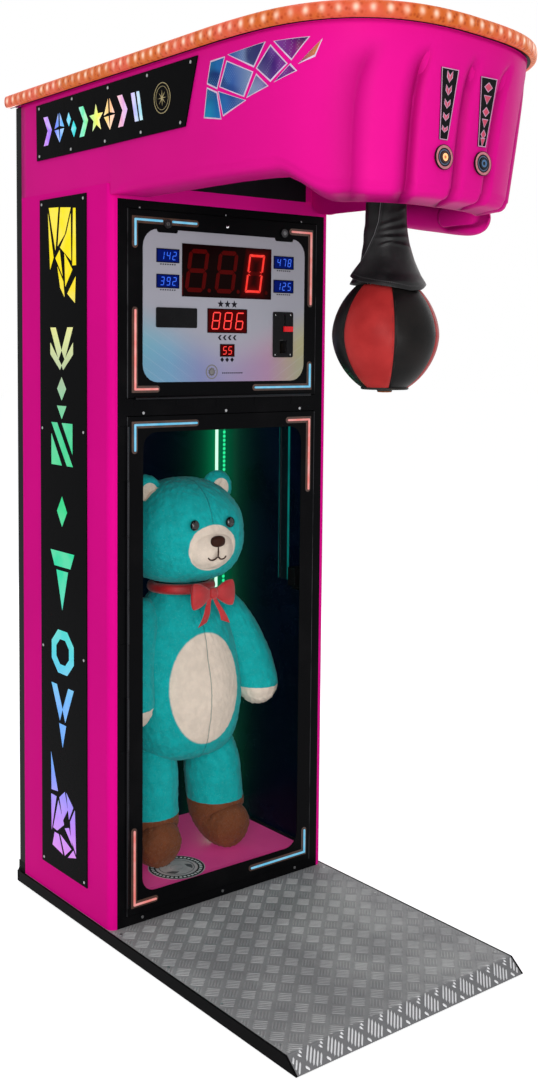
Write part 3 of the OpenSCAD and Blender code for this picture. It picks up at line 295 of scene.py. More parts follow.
class Finish(NodeTree):
    def __init__(self, name):
        self.material = bpy.data.materials.new(name)
        super().__init__(self.material, "ShaderNodeOutputMaterial")
        self.where = self.node("ShaderNodeTexCoord", output=3)
        self.x, self.y, self.z = (self.node("ShaderNodeSeparateXYZ", inputs={0: self.where}, output=i)
                                  for i in range(3))

    def mix(self, factor, first, second):
        return self.node("ShaderNodeMix", {"data_type": "RGBA"}, {0: factor, 6: first, 7: second}, 2)

    def noise(self, scale, detail=2.0, rough=0.5, at=None):
        return self.node("ShaderNodeTexNoise", None,
                         {"Vector": at or self.where, "Scale": scale, "Detail": detail, "Roughness": rough})

    def cloud(self, scale, detail, low, high, to0=0.0, to1=1.0):
        # noise that rises smoothly from to0 at its level low to to1 at high
        return self.rescale(self.noise(scale, detail), low, high, to0, to1)

    def cells(self, scale, at=None, random=1.0):
        # distance to the nearest of a set of scattered points, or of even ones where random is 0
        return self.node("ShaderNodeTexVoronoi", {"feature": "F1"},
                         {"Vector": at or self.where, "Scale": scale, "Randomness": random})

    def ramp(self, value, *stops):
        return self.node("ShaderNodeValToRGB", {"stops": stops}, {0: value})

    def rescale(self, value, low, high, to0=0.0, to1=1.0, kind="SMOOTHSTEP"):
        return self.node("ShaderNodeMapRange", {"interpolation_type": kind},
                         {0: value, 1: low, 2: high, 3: to0, 4: to1})

    def fade(self, value, low, high):
        # falls smoothly from 1 at low to 0 at high
        return self.rescale(value, low, high, 1.0, 0.0)

    def along(self, number):
        # first or second number of the piece's own map
        pieceMap = self.node("ShaderNodeUVMap", {"uv_map": "along"})
        return self.node("ShaderNodeSeparateXYZ", inputs={0: pieceMap}, output=number)

    def awayFrom(self, x, y=None, z=None):
        # distance in metres from an upright line at x and y, or from a line into the depth at x and z
        other = self.z - z if y is None else self.y - y
        return ((self.x - x) ** 2.0 + other ** 2.0) ** 0.5

    def angleRound(self, x, y):
        return self.x.calc("ARCTAN2", self.y - y, self.x - x)

    def shifted(self, turn=(0, 0, 0), scale=(1, 1, 1)):
        return self.node("ShaderNodeMapping", None, {0: self.where, 2: turn, 3: scale})

    def rounded(self, radius):
        # normal that rounds sharp edges over this radius in metres
        return self.node("ShaderNodeBevel", {"samples": 4}, {"Radius": radius})

    def bump(self, height, distance, strength=1.0, under=None):
        return self.node("ShaderNodeBump", None,
                         {"Height": height, "Distance": distance, "Strength": strength, "Normal": under})

    def skin(self, **values):
        shader = self.tree.nodes.new("ShaderNodeBsdfPrincipled")
        for key, value in values.items():
            words = "".join(" " + letter if letter.isupper() else letter for letter in key)
            socket = "Specular IOR Level" if key == "gloss" else words[0].upper() + words[1:]
            feed(self.tree, shader.inputs[socket], value)
        self.finish(Wire(self.tree, shader.outputs[0]))
        return self.material


def mm(value):
    return value / 1000


def depthOf(y):
    # depth in the cabinet's frame, in millimetres, as the material's own y in metres
    return (y + frontShift) / 1000


def dress(material, *names):
    for name in names:
        mesh = nodes[name].data
        for i in range(max(1, len(mesh.materials))):
            if i < len(mesh.materials):
                mesh.materials[i] = material
            else:
                mesh.materials.append(material)


# powder coat: near black, fine orange peel, faint dust
def blackCoat(name, base=0.0035, rough=0.34, edge=0.0012, gloss=0.014):
    f = Finish(name)
    dust = f.cloud(7.0, 3.0, 0.45, 0.8)
    colour = f.mix(dust * 0.35, (base, base, base * 1.1), (base * 2.2, base * 2.1, base * 2.2))
    peel = f.noise(900.0, 1.0)
    return f.skin(baseColor=colour, roughness=dust * 0.1 + rough, gloss=gloss,
                  normal=f.bump(peel, 0.0004, 0.12, f.rounded(edge)))


# satin magenta sheet and moulding, with faint clouds in the colour and the sheen
def magenta(name, rough, edge, base=(0.81, 0.007, 0.285), gloss=0.018, deep=False):
    f = Finish(name)
    cloud = f.cloud(2.3, 3.0, 0.3, 0.75)
    colour = f.mix(cloud, base, scaled(base, 0.92))
    if deep:
        # painted shade: darker towards the bottom of each hollow; the first number of the piece's own map is 1 at the
        # bottom of a hollow
        colour = f.mix((f.along(0) * 0.95).clip(), colour, scaled(base, 0.42))
    smear = f.cloud(7.0, 4.0, 0.25, 0.85)
    peel = f.noise(420.0, 1.0)
    return f.skin(baseColor=colour, roughness=smear * 0.06 + rough, gloss=gloss,
                  normal=f.bump(peel, 0.00025, 0.1, f.rounded(edge) if edge else None))


# bare or plated metal with fine brush marks
def metal(name, base, rough, brush=0.25, edge=0.0006):
    f = Finish(name)
    streak = f.noise(60.0, 3.0, at=f.shifted(scale=(1, 1, 14)))
    spot = f.cloud(30.0, 3.0, 0.35, 0.7)
    colour = f.mix(spot, base, scaled(base, 0.8))
    return f.skin(baseColor=colour, metallic=1.0, roughness=streak * brush * 0.4 + rough,
                  normal=f.bump(streak, 0.0001, brush, f.rounded(edge)))


def plain(name, base, rough, grain=700.0, depth=0.0002, edge=0.0006, **more):
    f = Finish(name)
    mottle = f.cloud(35.0, 3.0, 0.35, 0.7)
    colour = f.mix(mottle, base, scaled(base, 0.82))
    more.setdefault("gloss", 0.06 if max(base) < 0.05 else 0.25)
    return f.skin(baseColor=colour, roughness=mottle * 0.08 + rough,
                  normal=f.bump(f.noise(grain, 1.5), depth, 0.3, f.rounded(edge)), **more)


blackPaint = blackCoat("blackPaint")
magentaSheet = magenta("magentaSheet", 0.42, 0, (0.825, 0.003, 0.285), 0.011)
magentaMould = magenta("magentaMould", 0.40, 0)
magentaCreaseShade = magenta("magentaCreaseShade", 0.40, 0, deep=True)
zinc = metal("zincSteel", (0.55, 0.56, 0.58), 0.34)
chrome = metal("brightSteel", (0.85, 0.85, 0.87), 0.14, 0.12, 0.0003)
rubber = plain("blackRubber", (0.012, 0.012, 0.013), 0.7)
dress(blackPaint, "base_frame", "display_shelf", "lock_box", "trim_channel")
# the rear cover and service door take a lighter copy of the black coat: painted light, so the back shows its detail
dress(blackCoat("rearPaint", 0.0085, 0.30, 0.0016, 0.03), "rear_cover", "service_door")
dress(magentaSheet, "side_panel_left", "side_panel_right")
dress(magentaMould, "head_cover", "lintel_panel")
dress(zinc, "cabinet_frame", "head_frame", "pivot_bracket", "bag_arm")
dress(metal("lockSteel", (0.06, 0.06, 0.062), 0.36, 0.12, 0.0003), "lock_barrels")
dress(metal("screwSteel", (0.42, 0.42, 0.43), 0.3, 0.12, 0.0003), "cover_screws")
dress(metal("camSteel", (0.20, 0.20, 0.205), 0.34, 0.12, 0.0003), "lock_cam_left", "lock_cam_right")
dress(chrome, "lock_bolt", "pivot_shaft", "bag_latch")
dress(rubber, "rubber_feet", "glass_gasket", "transport_wheels")


# black doors and frame: the piano hinges' knuckles, in front of the face, stay bare steel
hinges = dict(sideX=-303.25, lowZ=1370.75, halfWidth=5, proud=-5.2, foldX=301.8)


def hingedBlack(name, acrossX, acrossZ):
    f = Finish(name)
    dust = f.cloud(9.0, 3.0, 0.45, 0.8)
    colour = f.mix(dust * 0.35, (0.0035, 0.0035, 0.004), (0.010, 0.0095, 0.010))
    bands = [part.within(mm(middle - hinges["halfWidth"]), mm(middle + hinges["halfWidth"]))
             for part, middle in ((f.x, acrossX), (f.z, acrossZ)) if middle is not None]
    bare = (bands[0] if len(bands) == 1 else bands[0].most(bands[1])) * (f.y < depthOf(hinges["proud"]))
    colour = f.mix(bare, colour, (0.018, 0.018, 0.02))
    if len(bands) == 1:
        # painted highlight: a light line along the fold of each upright door edge, broken up by noise
        foldHighlight = f.fade(abs(abs(f.x) - mm(hinges["foldX"])), 0.0005, 0.0011) * (f.y < depthOf(1.0))
        colour = f.mix(foldHighlight * f.cloud(14.0, 3.0, 0.25, 0.6), colour, (0.065, 0.065, 0.07))
    return f.skin(baseColor=colour, metallic=bare, roughness=dust * 0.08 + 0.34 - bare * 0.06, gloss=0.02,
                  normal=f.bump(f.noise(900.0, 1.0), 0.0004, 0.12, f.rounded(0.0014)))


dress(hingedBlack("frameBlack", hinges["sideX"], hinges["lowZ"]), "front_frame")
dress(hingedBlack("displayDoorBlack", None, hinges["lowZ"]), "display_door")
dress(hingedBlack("prizeDoorBlack", hinges["sideX"], None), "prize_door")
dress(plain("gloveBlack", (0.008, 0.008, 0.009), 0.26, 300.0), "coin_plate")
dress(plain("inletBlack", (0.015, 0.015, 0.016), 0.35), "power_inlet")
dress(plain("rockerRed", (0.5, 0.01, 0.012), 0.3), "power_switch")
dress(plain("rejectRed", (0.72, 0.01, 0.014), 0.25, emissionColor=(0.5, 0.0, 0.01), emissionStrength=0.25),
      "reject_button")
dress(metal("mechBrass", (0.62, 0.48, 0.24), 0.3), "latch_solenoid")
f = Finish("coinMetal")
streak = f.noise(60.0, 3.0)
frontPart = f.y < depthOf(34)
colour = f.mix(frontPart, f.mix(streak, (0.50, 0.39, 0.20), (0.62, 0.48, 0.24)), (0.010, 0.010, 0.011))
coinMetal = f.skin(baseColor=colour, metallic=1 - frontPart, roughness=streak * 0.1 + 0.3, normal=f.rounded(0.0005))
dress(coinMetal, "coin_mech")
signBlack = plain("signBlack", (0.003, 0.003, 0.0035), 0.18, 60.0, 0.0004, gloss=0.01)
dress(signBlack, "side_light_panels", "side_sign_panels")
dress(plain("boardGreen", (0.02, 0.12, 0.05), 0.4), "control_board")
print("plain finishes done")

# head: one wall that loops round the outline, with rounded fingers, fingertips and a rolled rim
head = dict(halfWidth=375.0, bulge=410.0, widest=-450.0, power=2.7, lean=36.0, wall=5.0, rim=45.0, fillet=21.0,
            top=2132.0, armLow=1862.0, knuckleLow=1805.0, slant=0.115, setBack=7.6, creaseDepth=23.0, tipRise=9.0,
            # each crease: its x, its reach to the left and to the right, and its share of the full depth
            creases=((-292.0, 58, 34, 0.45), (-175.0, 46, 26, 0.9), (-29.0, 34, 24, 1.0), (91.0, 34, 24, 0.95),
                     (225.0, 30, 24, 0.4)))


def flare(y):
    # the head widens evenly from the cabinet's back to its widest place
    return (head["halfWidth"] - cabinet["x"]) * (cabinet["depth"] - y) / (cabinet["depth"] - head["widest"])


def slantAt(x, y):
    # the knuckles stand further back on the right: (slant x + set-back), coming in over 180 mm
    return (head["slant"] * x + head["setBack"]) * smooth((head["widest"] - y) / 180)


def outline(side, value, grow):
    # flank: x = side (cabinet half width + flare + grow); front: super-ellipse |x/a|^p + |y/b|^p = 1, slanted
    angle, p = np.radians(value), 2 / head["power"]
    a, b = head["halfWidth"] + grow, head["bulge"] + grow
    x = np.where(side != 0, side * (cabinet["x"] + flare(value) + grow),
                 -np.sign(np.cos(angle)) * np.abs(np.cos(angle)) ** p * a)
    front = head["widest"] - np.abs(np.sin(angle)) ** p * b
    return x, np.where(side != 0, value, front + slantAt(x, front))


def lowEdge(y):
    # height of the lower edge: level with the panels, up to the arm in front of them, down again to the knuckles
    low = head["armLow"] - (head["armLow"] - head["knuckleLow"]) * smooth((-y - 619.2) / 150)
    return np.where(y > -0.3, cabinet["panelTop"], low)


def leanAt(y):
    # how far the wall's foot stands in from its top
    base = flare(0)
    return np.where(y > 0, flare(y), base + (head["lean"] - base) * smooth((-y - 350) / 450))


def frontShare(y):
    # share of the rolled edge: almost none beside the cabinet, all of it 70 mm in front
    return np.maximum(0.004, smooth(-y / 70))


def growLow(y):
    # the low edge as the wall's lean sees it, eased in over the first 60 mm
    return cabinet["panelTop"] + (lowEdge(y - 1) - cabinet["panelTop"]) * smooth(-y / 60)


def creaseShare(x, z):
    # 1 in the valley between two fingers, (1 - distance / reach)^2.6 over the roll of the finger on either side;
    # under the rim each crease bends to the right
    shift = 55 * np.exp(-(head["top"] - 22 - z) / 50)
    share = np.zeros(np.broadcast(x, z).shape)
    for centre, left, right, deep in head["creases"]:
        d = x - centre - shift
        share = np.maximum(share, deep * np.clip(1 - np.where(d < 0, -d / left, d / right), 0, 1) ** 2.6)
    return share


def belowRim(z):
    # 0 at the rim, 1 from 84 mm under the top
    return smooth((head["top"] - 24 - z) / 60)


def onKnuckles(y):
    # 1 on the front half of the head's round end
    return smooth((head["widest"] - 0.5 * head["bulge"] - y) / 30)


def wallGrow(x, y, z):
    # lean to the lower edge: -lean (1 - height share)^1.2, less the creases of the front
    height = np.clip((z - growLow(y)) / (head["top"] - growLow(y)), 0, 1)
    crease = head["creaseDepth"] * belowRim(z) * creaseShare(x, z) * onKnuckles(y)
    return -leanAt(y) * (1 - height) ** 1.2 - crease


def headRings():
    flank = np.concatenate([[449], np.linspace(420, 20, 13), [6, 0.6, -0.6, -3, -7, -12, -18, -25, -35, -50, -70],
                            np.linspace(-84, -440, 28)])
    # degrees round the front, closer together over the knuckles
    angle = np.concatenate([np.linspace(0, 40, 50), np.linspace(40.5, 139.5, 200), np.linspace(140, 180, 50)])
    side = np.concatenate([-np.ones(len(flank)), np.zeros(len(angle)), np.ones(len(flank))])
    value = np.concatenate([flank, angle, flank[::-1]])
    x0, y0 = outline(side, value, 0.0)
    share = frontShare(y0)
    roll = head["fillet"] * share
    low = lowEdge(y0) + head["tipRise"] * creaseShare(x0, 1830.0) ** 0.7 * onKnuckles(y0)
    back = np.where(np.abs(value - 449) < 1e-6, np.abs(side), 0.0)
    rings, hollows = [], []

    def ring(grow, z):
        x, y = outline(side, value, grow)
        rings.append(np.stack([x, y + back * grow, z], -1))
        # share of painted shade, most at the bottom of each crease between the fingers
        hollows.append(creaseShare(x0, z) ** 0.6 * onKnuckles(y0) * belowRim(z))

    # down the outside, round the rolled edge, in along the rim, and up the inside
    for k in np.linspace(0, 1, 34):
        z = head["top"] - (head["top"] - low - roll) * k
        ring(wallGrow(x0, y0, z), z)
    for a in np.radians(np.arange(10, 91, 10)):
        ring(wallGrow(x0, y0, low) - roll * (1 - np.cos(a)), low + roll * (1 - np.sin(a)))
    rimGrow = -leanAt(y0) - 17 - np.where(y0 > -1, 0, head["rim"] * np.minimum(1, -y0 / 25))
    rimLow = lowEdge(y0) - 8 * (share - 0.04)
    ring(rimGrow, rimLow)
    ring(rimGrow, rimLow + head["wall"])
    for k in range(4):
        base = low + head["wall"] + 0.9 * roll
        z = base + (head["top"] - base) * k / 3
        ring(wallGrow(x0, y0, z) - head["wall"], z)
    return np.array(rings), np.array(hollows)


rings, hollows = headRings()
headShell = gridPiece("headShell", rings, "machine", magentaCreaseShade, True, uv=ownMap(hollows))
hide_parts("head_shell")

# thumb: a tube along a bent path with rounded ends, a raised nail in a groove on its inner side
thumb = dict(path=((304, -262, 1846), (302, -322, 1838), (298, -396, 1828), (290, -480, 1818), (278, -552, 1810),
                   (276, -592, 1807), (280, -618, 1806), (284, -638, 1806)),
             radius=(20, 31, 35, 38, 41, 41, 33, 10), nailY=(-634, -512), nailZ=(1784, 1836), nailRound=22,
             nailRise=5.4, grooveDeep=8.5, grooveWide=4.2)


def thumbSurface(rows, cols):
    # a tube with both ends drawn in to a point, moved outwards by the nail's rise less its groove
    path = curveThrough(thumb["path"], rows)
    t = np.linspace(0, 1, rows)
    radius = np.clip(curveThrough(thumb["radius"], rows)[:, 0], 0.01, None)
    radius = radius * roundedEnd((t - 0.93) / 0.07) * roundedEnd((0.06 - t) / 0.06)
    p = tubeRound(path, radius, cols, (0, 0, 1.0))
    y, z = p[..., 1], p[..., 2]
    inner = p[..., 0] < path[:, None, 0]
    (y0, y1), (z0, z1) = thumb["nailY"], thumb["nailZ"]
    # distance outside a rounded rectangle in depth and height
    dy = np.abs(y - (y0 + y1) / 2) - (y1 - y0) / 2 + thumb["nailRound"]
    dz = np.abs(z - (z0 + z1) / 2) - (z1 - z0) / 2 + thumb["nailRound"]
    d = np.hypot(np.maximum(dy, 0), np.maximum(dz, 0)) + np.minimum(np.maximum(dy, dz), 0) - thumb["nailRound"]
    shift = thumb["nailRise"] * smooth(-d / 5) - thumb["grooveDeep"] * np.exp(-((d - 1) / thumb["grooveWide"]) ** 2)
    outward = unit(p - path[:, None])
    # painted shade: darker along the groove round the nail, read by the material through the piece's own map
    groove = np.where(inner, 1.7 * np.exp(-((d - 1) / 4.6) ** 2), 0)
    return p + outward * np.where(inner, shift, 0)[..., None], groove


grid, groove = thumbSurface(150, 96)
thumbForm = gridPiece("thumbForm", grid, "machine", magentaCreaseShade, uv=ownMap(groove))
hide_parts("thumb_moulding")
print("head and thumb done")

# light trim: a half-round lens along the head's outline, its lamps showing as spots
trim = dict(low=2133.0, height=32.0, inner=8.4, reach=21.95, pitch=33.0, rear=506.0)


def trimLens():
    # profile(t) = inner + (reach - inner) cos(t)^0.62 out and height (1 + sin(t)^0.8) / 2 up, along the outline
    flank = np.linspace(trim["rear"], -440, 60)
    angle = np.linspace(0, 180, 180)
    side = np.concatenate([-np.ones(60), np.zeros(180), np.ones(60)])
    value = np.concatenate([flank, angle, flank[::-1]])
    x, y = outline(side, value, 15.0)
    length = np.concatenate([[0], np.cumsum(np.hypot(np.diff(x), np.diff(y)))])
    a = np.linspace(-90, 90, 17)
    profile = [(trim["inner"] + (trim["reach"] - trim["inner"]) * np.cos(np.radians(t)) ** 0.62,
                trim["height"] / 2 * (1 + np.sign(t) * abs(np.sin(np.radians(t))) ** 0.8)) for t in a]
    profile += [(trim["inner"], trim["height"]), (trim["inner"], 0.0)]
    rows = []
    for grow, z in profile:
        gx, gy = outline(side, value, grow)
        rows.append(np.stack([gx, gy, np.full(len(gx), trim["low"] + z)], -1))
    points = np.array(rows)
    v = np.array([z / trim["height"] for _, z in profile])
    uv = np.stack(np.broadcast_arrays(length[None, :] / 1000, v[:, None]), -1)
    rowCount, colCount = points.shape[:2]
    firstEnd = [k * colCount for k in range(rowCount)]
    caps = [firstEnd, [k + colCount - 1 for k in firstEnd][::-1]]
    faces = gridFaces(rowCount, colCount, True, False).tolist() + caps
    return points.reshape(-1, 3), faces, uv.reshape(-1, 2)


f = Finish("litTrim")
u, v = f.along(0), f.along(1)
near = abs((u / mm(trim["pitch"])) % 1.0 - 0.5) * trim["pitch"]  # mm along from the nearest lamp
high = abs(v - 0.5) * trim["height"]
spot = ((near * near * 0.62 + high * high * 0.42) * -0.05).exp()
halo = ((near * near + high * high * 0.8) * -0.014).exp()
facet = f.cells(95.0)
patch = f.cloud(9.0, 2.0, 0.4, 0.62)
pinker = f.mix(patch, (1.0, 0.30, 0.045), (1.0, 0.22, 0.13))
body = f.mix(patch, (0.24, 0.034, 0.006), (0.40, 0.040, 0.026))
glow = f.mix(f.rescale(facet, 0.05, 0.55), body, f.mix(patch, (0.54, 0.125, 0.024), (0.66, 0.105, 0.065)))
uneven = f.cloud(31.0, 2.0, 0.30, 0.62, 0.45, 1.0)
glow = f.mix(halo * uneven * 0.65, glow, pinker)
glow = f.mix(spot * uneven, glow, (1.0, 0.88, 0.70))
litTrim = f.skin(baseColor=(0.24, 0.035, 0.006), roughness=0.28, gloss=0.06, emissionColor=glow,
                 emissionStrength=0.82, normal=f.bump(facet, 0.003, 0.5))
points, faces, uv = trimLens()
lens = makePiece("trimLens", points, faces, "machine", litTrim, uv=uv)
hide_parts("trim_lens")
print("trim done")


# patches: flat shapes laid on a surface, each a four-cornered sheet with some thickness
def patches(name, corners, surface, body, finish, outward, steps=1, thickness=0.5):
    # bilinear blend of each shape's corners in the surface's own two numbers
    corners = np.asarray(corners, float)
    a, b = np.meshgrid(np.linspace(0, 1, steps + 1), np.linspace(0, 1, steps + 1), indexing="ij")
    weights = np.stack([(1 - a) * (1 - b), a * (1 - b), a * b, (1 - a) * b], -1)
    flat = np.einsum("abk,nkd->nabd", weights, corners)
    points = surface(flat[..., 0], flat[..., 1])
    n, size = len(corners), (steps + 1) ** 2
    faces = gridFaces(steps + 1, steps + 1)[None] + (np.arange(n) * size)[:, None, None]
    turn = np.cross(points[:, -1, -1] - points[:, 0, 0], points[:, 0, -1] - points[:, -1, 0])
    faces = np.where((turn @ np.asarray(outward, float) < 0)[:, None, None], faces[..., ::-1], faces)
    piece = makePiece(name, points.reshape(-1, 3), faces.reshape(-1, 4), body, finish, closed=False, soft=False)
    turned = np.array([face.normal[:] for face in piece.data.polygons]) @ np.asarray(outward, float)
    if np.sum(turned) < 0:
        piece.data.flip_normals()
    modify(piece, "SOLIDIFY", thickness=mm(thickness), offset=-1.0, use_even_offset=False)


def tri(a, b, c):
    # a triangle as a four-cornered shape
    return (a, b, c, c)


def widen(shape, amount):
    # the shape's corners moved out from its middle by about this much
    shape = np.asarray(shape, float)
    middle = shape.mean(0)
    away = shape - middle
    return middle + away * (1 + amount / np.maximum(np.linalg.norm(away, axis=1), 1e-6))[:, None]


def shrink(shape, amount):
    return widen(shape, -amount)


# digits: seven bars each
segments = {"1": "bc", "2": "abged", "3": "abgcd", "4": "fgbc", "5": "afgcd", "6": "afgedc", "7": "abc",
            "8": "abcdefg", "9": "abcdfg"}


def digitBars(text, x, z, width, height, bar, gap, slant=0.15):
    # corners of every lit bar of the text, centred on x and z
    shapes = []
    start = x - (len(text) * width + (len(text) - 1) * gap) / 2 + width / 2
    w, h, t = width / 2 - bar / 2, height / 2 - bar / 2, bar / 2
    spots = dict(a=(0, h, 0), g=(0, 0, 0), d=(0, -h, 0), f=(-w, h / 2, 1), b=(w, h / 2, 1), e=(-w, -h / 2, 1),
                 c=(w, -h / 2, 1))
    for i, letter in enumerate(text):
        for key in segments[letter]:
            cx, cz, upright = spots[key]
            half = (h / 2 if upright else w) - bar * 0.12
            rim = ((-half, 0), (-half + t, t), (half - t, t), (half, 0), (half - t, -t), (-half + t, -t))
            rim = [((-q if upright else p) + cx, (p if upright else q) + cz) for p, q in rim]
            rim = [(start + i * (width + gap) + p + slant * q, z + q) for p, q in rim]
            shapes += [(rim[1], rim[2], rim[4], rim[5]), tri(rim[2], rim[3], rim[4]), tri(rim[0], rim[1], rim[5])]
    return shapes


def onFace(depth):
    # the upright plane at this depth
    return lambda x, z: np.stack([x, np.full(x.shape, depth), z], -1)


def lamp(name, colour):
    f = Finish(name)
    grain = f.cloud(160.0, 2.0, 0.3, 0.75)
    lit = f.mix(grain, colour, tuple(min(1.0, v * 1.15 + 0.01) for v in colour))
    return f.skin(baseColor=scaled(colour, 0.4), roughness=0.3, emissionColor=lit, emissionStrength=1.0)


redLamp = lamp("redLamp", (0.95, 0.025, 0.018))
blueLamp = lamp("blueLamp", (0.015, 0.11, 0.75))
counters = dict(depth=-4.3, targetX=186, targetZ=(1724, 1661), left=("142", "392"), right=("478", "125"),
                record=("886", 1566), credit=("55", 1490))
toPlayer = (0, -1, 0)
blues = []
for key, x in (("left", -counters["targetX"]), ("right", counters["targetX"])):
    for figures, z in zip(counters[key], counters["targetZ"]):
        blues += digitBars(figures, x + 2, z, 11, 21, 1.9, 7)
reds = digitBars(counters["record"][0], 2, counters["record"][1], 25, 45, 3.3, 13)
reds += digitBars(counters["credit"][0], 1, counters["credit"][1], 12, 21, 2.0, 5)
patches("targetDigits", blues, onFace(counters["depth"]), "display_door", blueLamp, toPlayer, thickness=0.25)
patches("scoreDigits", reds, onFace(counters["depth"]), "display_door", redLamp, toPlayer, thickness=0.25)

# score window: the right-hand figure is lit but for its middle bar, the others are dark red
score = dict(z=1691, width=286, litFigure=88.95, slant=0.15, barHalf=20.2, barRise=43.3)
f = Finish("scoreRed")
up = (f.z - mm(score["z"])) * 1000
across = f.x * 1000 - up * score["slant"]
figure = f.y < depthOf(-4.25)
inside = across.within(-score["width"] / 2 + 3, score["width"] / 2 - 3) * (abs(up) < 63.0)
right = across > score["litFigure"] - 40
figureMask = figure * inside
# the lit figure: bars 12 mm wide round a rectangle, parted at its corners and half-way up
u = abs(across - score["litFigure"])
w = abs(up)
pastSide, pastEnd = u - score["barHalf"], w - score["barRise"]
fromSide, fromEnd = abs(pastSide), abs(pastEnd)
barMask = ((fromSide < 5.9) * (w < 50.0)).most((fromEnd < 6.3) * (u < 26.2))
gaps = ((abs(pastSide - pastEnd) < 0.9) * (fromSide < 9.0) * (fromEnd < 9.0)).most(w < fromSide * 0.7 + 1.3)
lit = figureMask * right * barMask * (1 - gaps)
near = abs(pastSide.most(pastEnd))
glow = (near * -0.13).exp() * right * 0.17 * (f.y < depthOf(-2))
rim = f.cloud(60.0, 2.0, 0.3, 0.7)
colour = f.mix(figureMask, (0.004, 0.001, 0.001), (0.055, 0.002, 0.002))
shine = f.mix(glow, (0.0015, 0.0, 0.0), (0.85, 0.004, 0.004))
shine = f.mix(figureMask * (1 - right), shine, (0.022, 0.0, 0.0))
shine = f.mix(lit, shine, f.mix(rim, (1.0, 0.03, 0.02), (1.0, 0.06, 0.045)))
dress(f.skin(baseColor=colour, roughness=0.16, gloss=0.02, emissionColor=shine, emissionStrength=1.0),
      "score_display")

# small windows: navy beside the score, dark red below it
f = Finish("counterDark")
floor = f.y.within(depthOf(-4.6), depthOf(-2))
bluePart = abs(f.x) > 0.12
mesh = f.noise(500.0, 1.0)
tone = f.mix(bluePart, (0.022, 0.001, 0.001), (0.0015, 0.004, 0.05))
colour = f.mix(floor, (0.004, 0.004, 0.005), tone)
shine = f.mix(floor, (0.0, 0.0, 0.0), f.mix(bluePart, (0.035, 0.0, 0.0), (0.0, 0.004, 0.075)))
dress(f.skin(baseColor=colour, roughness=mesh * 0.1 + 0.18, gloss=0.02, emissionColor=shine, emissionStrength=1.0),
      "counter_displays")

# silver plate: pale lilac sheet, a cyan to gold band with a fine dot screen in its lower part
f = Finish("silverPrint")
band = f.ramp(f.rescale(f.x, -0.26, 0.26, kind="LINEAR"), (0.0, (0.13, 0.44, 0.55)), (0.16, (0.14, 0.42, 0.60)),
              (0.34, (0.23, 0.27, 0.50)), (0.52, (0.37, 0.29, 0.45)), (0.76, (0.50, 0.23, 0.34)),
              (0.88, (0.50, 0.34, 0.18)), (0.96, (0.44, 0.40, 0.12)))
fade = f.rescale(f.z + abs(f.x) * -0.35, 1.53, 1.395)
turned = f.shifted(turn=(0, math.radians(45), 0))
dots = f.cells(170.0, turned, 0.0)
screen = f.rescale(dots, 0.25, 0.4) * f.rescale(f.z, 1.54, 1.44)
leftStreak, rightStreak = (f.rescale(((f.z + f.x * slope) * 34.0) % 1.0, 0.93, 1.0) * f.rescale(f.x, near, far)
                           for slope, near, far in ((0.6, -0.05, -0.2), (-0.6, 0.08, 0.2)))
streak = leftStreak.most(rightStreak)
sheet = f.mix(f.rescale(f.z, 1.45, 1.79), (0.36, 0.365, 0.425), (0.385, 0.385, 0.435))
colour = f.mix(fade * 0.85, sheet, band)
colour = f.mix(screen * fade * 0.3, colour, (0.10, 0.12, 0.34))
colour = f.mix(streak * fade * 0.3, colour, (0.62, 0.62, 0.72))
colour = f.mix(f.y < depthOf(-2.5), (0.09, 0.09, 0.095), colour)  # the back of the sheet isn't printed
grain = f.noise(240.0, 2.0, at=f.shifted(scale=(0.06, 1, 1)))
silverPrint = f.skin(baseColor=colour, roughness=grain * 0.12 + 0.30, metallic=0.12,
                     normal=f.bump(grain, 0.0001, 0.1, f.rounded(0.0005)))
dress(silverPrint, "display_plate")

# light strips of both doors: blue in two opposite corners, salmon in the other two
strips = dict(displayMid=1600, prizeMid=690, edge=281.5, bedHalf=8.5, bedFront=-2.35, bedBack=-1.9,
              blue=(0.10, 0.56, 0.86), salmon=(0.93, 0.22, 0.19))


def stripFinish(name, mid):
    f = Finish(name)
    left, upper = f.x < 0.0, f.z > mm(mid)
    blue = left * upper + (1 - left) * (1 - upper)
    colour = f.mix(blue, strips["salmon"], strips["blue"])
    uneven = f.cloud(40.0, 2.0, 0.3, 0.7)
    lit = f.mix(uneven * 0.25, colour, (1.0, 1.0, 1.0))
    return f.skin(baseColor=f.mix(0.6, colour, (0, 0, 0)), roughness=0.3, emissionColor=lit, emissionStrength=0.58)


dress(stripFinish("displayStripLight", strips["displayMid"]), "display_strips")
dress(stripFinish("prizeStripLight", strips["prizeMid"]), "prize_strips")


def bedOutline(points, half):
    # rounded ribbon round an open path of corners: left side out, round cap, right side back, round cap
    p = np.asarray(points, float)
    d = unit(np.diff(p, axis=0))
    n = np.stack([-d[:, 1], d[:, 0]], -1)
    joint = p[1] + (n[0] + n[1]) * half / (1 + n[0] @ n[1])
    back = p[1] - (n[0] + n[1]) * half / (1 + n[0] @ n[1])
    a = np.linspace(0, np.pi, 11)[1:-1]
    endCap = [p[2] + half * (n[1] * math.cos(t) + d[1] * math.sin(t)) for t in a]
    startCap = [p[0] - half * (n[0] * math.cos(t) + d[0] * math.sin(t)) for t in a]
    return [p[0] + n[0] * half, joint, p[2] + n[1] * half, *endCap, p[2] - n[1] * half, back, p[0] - n[0] * half,
            *startCap]


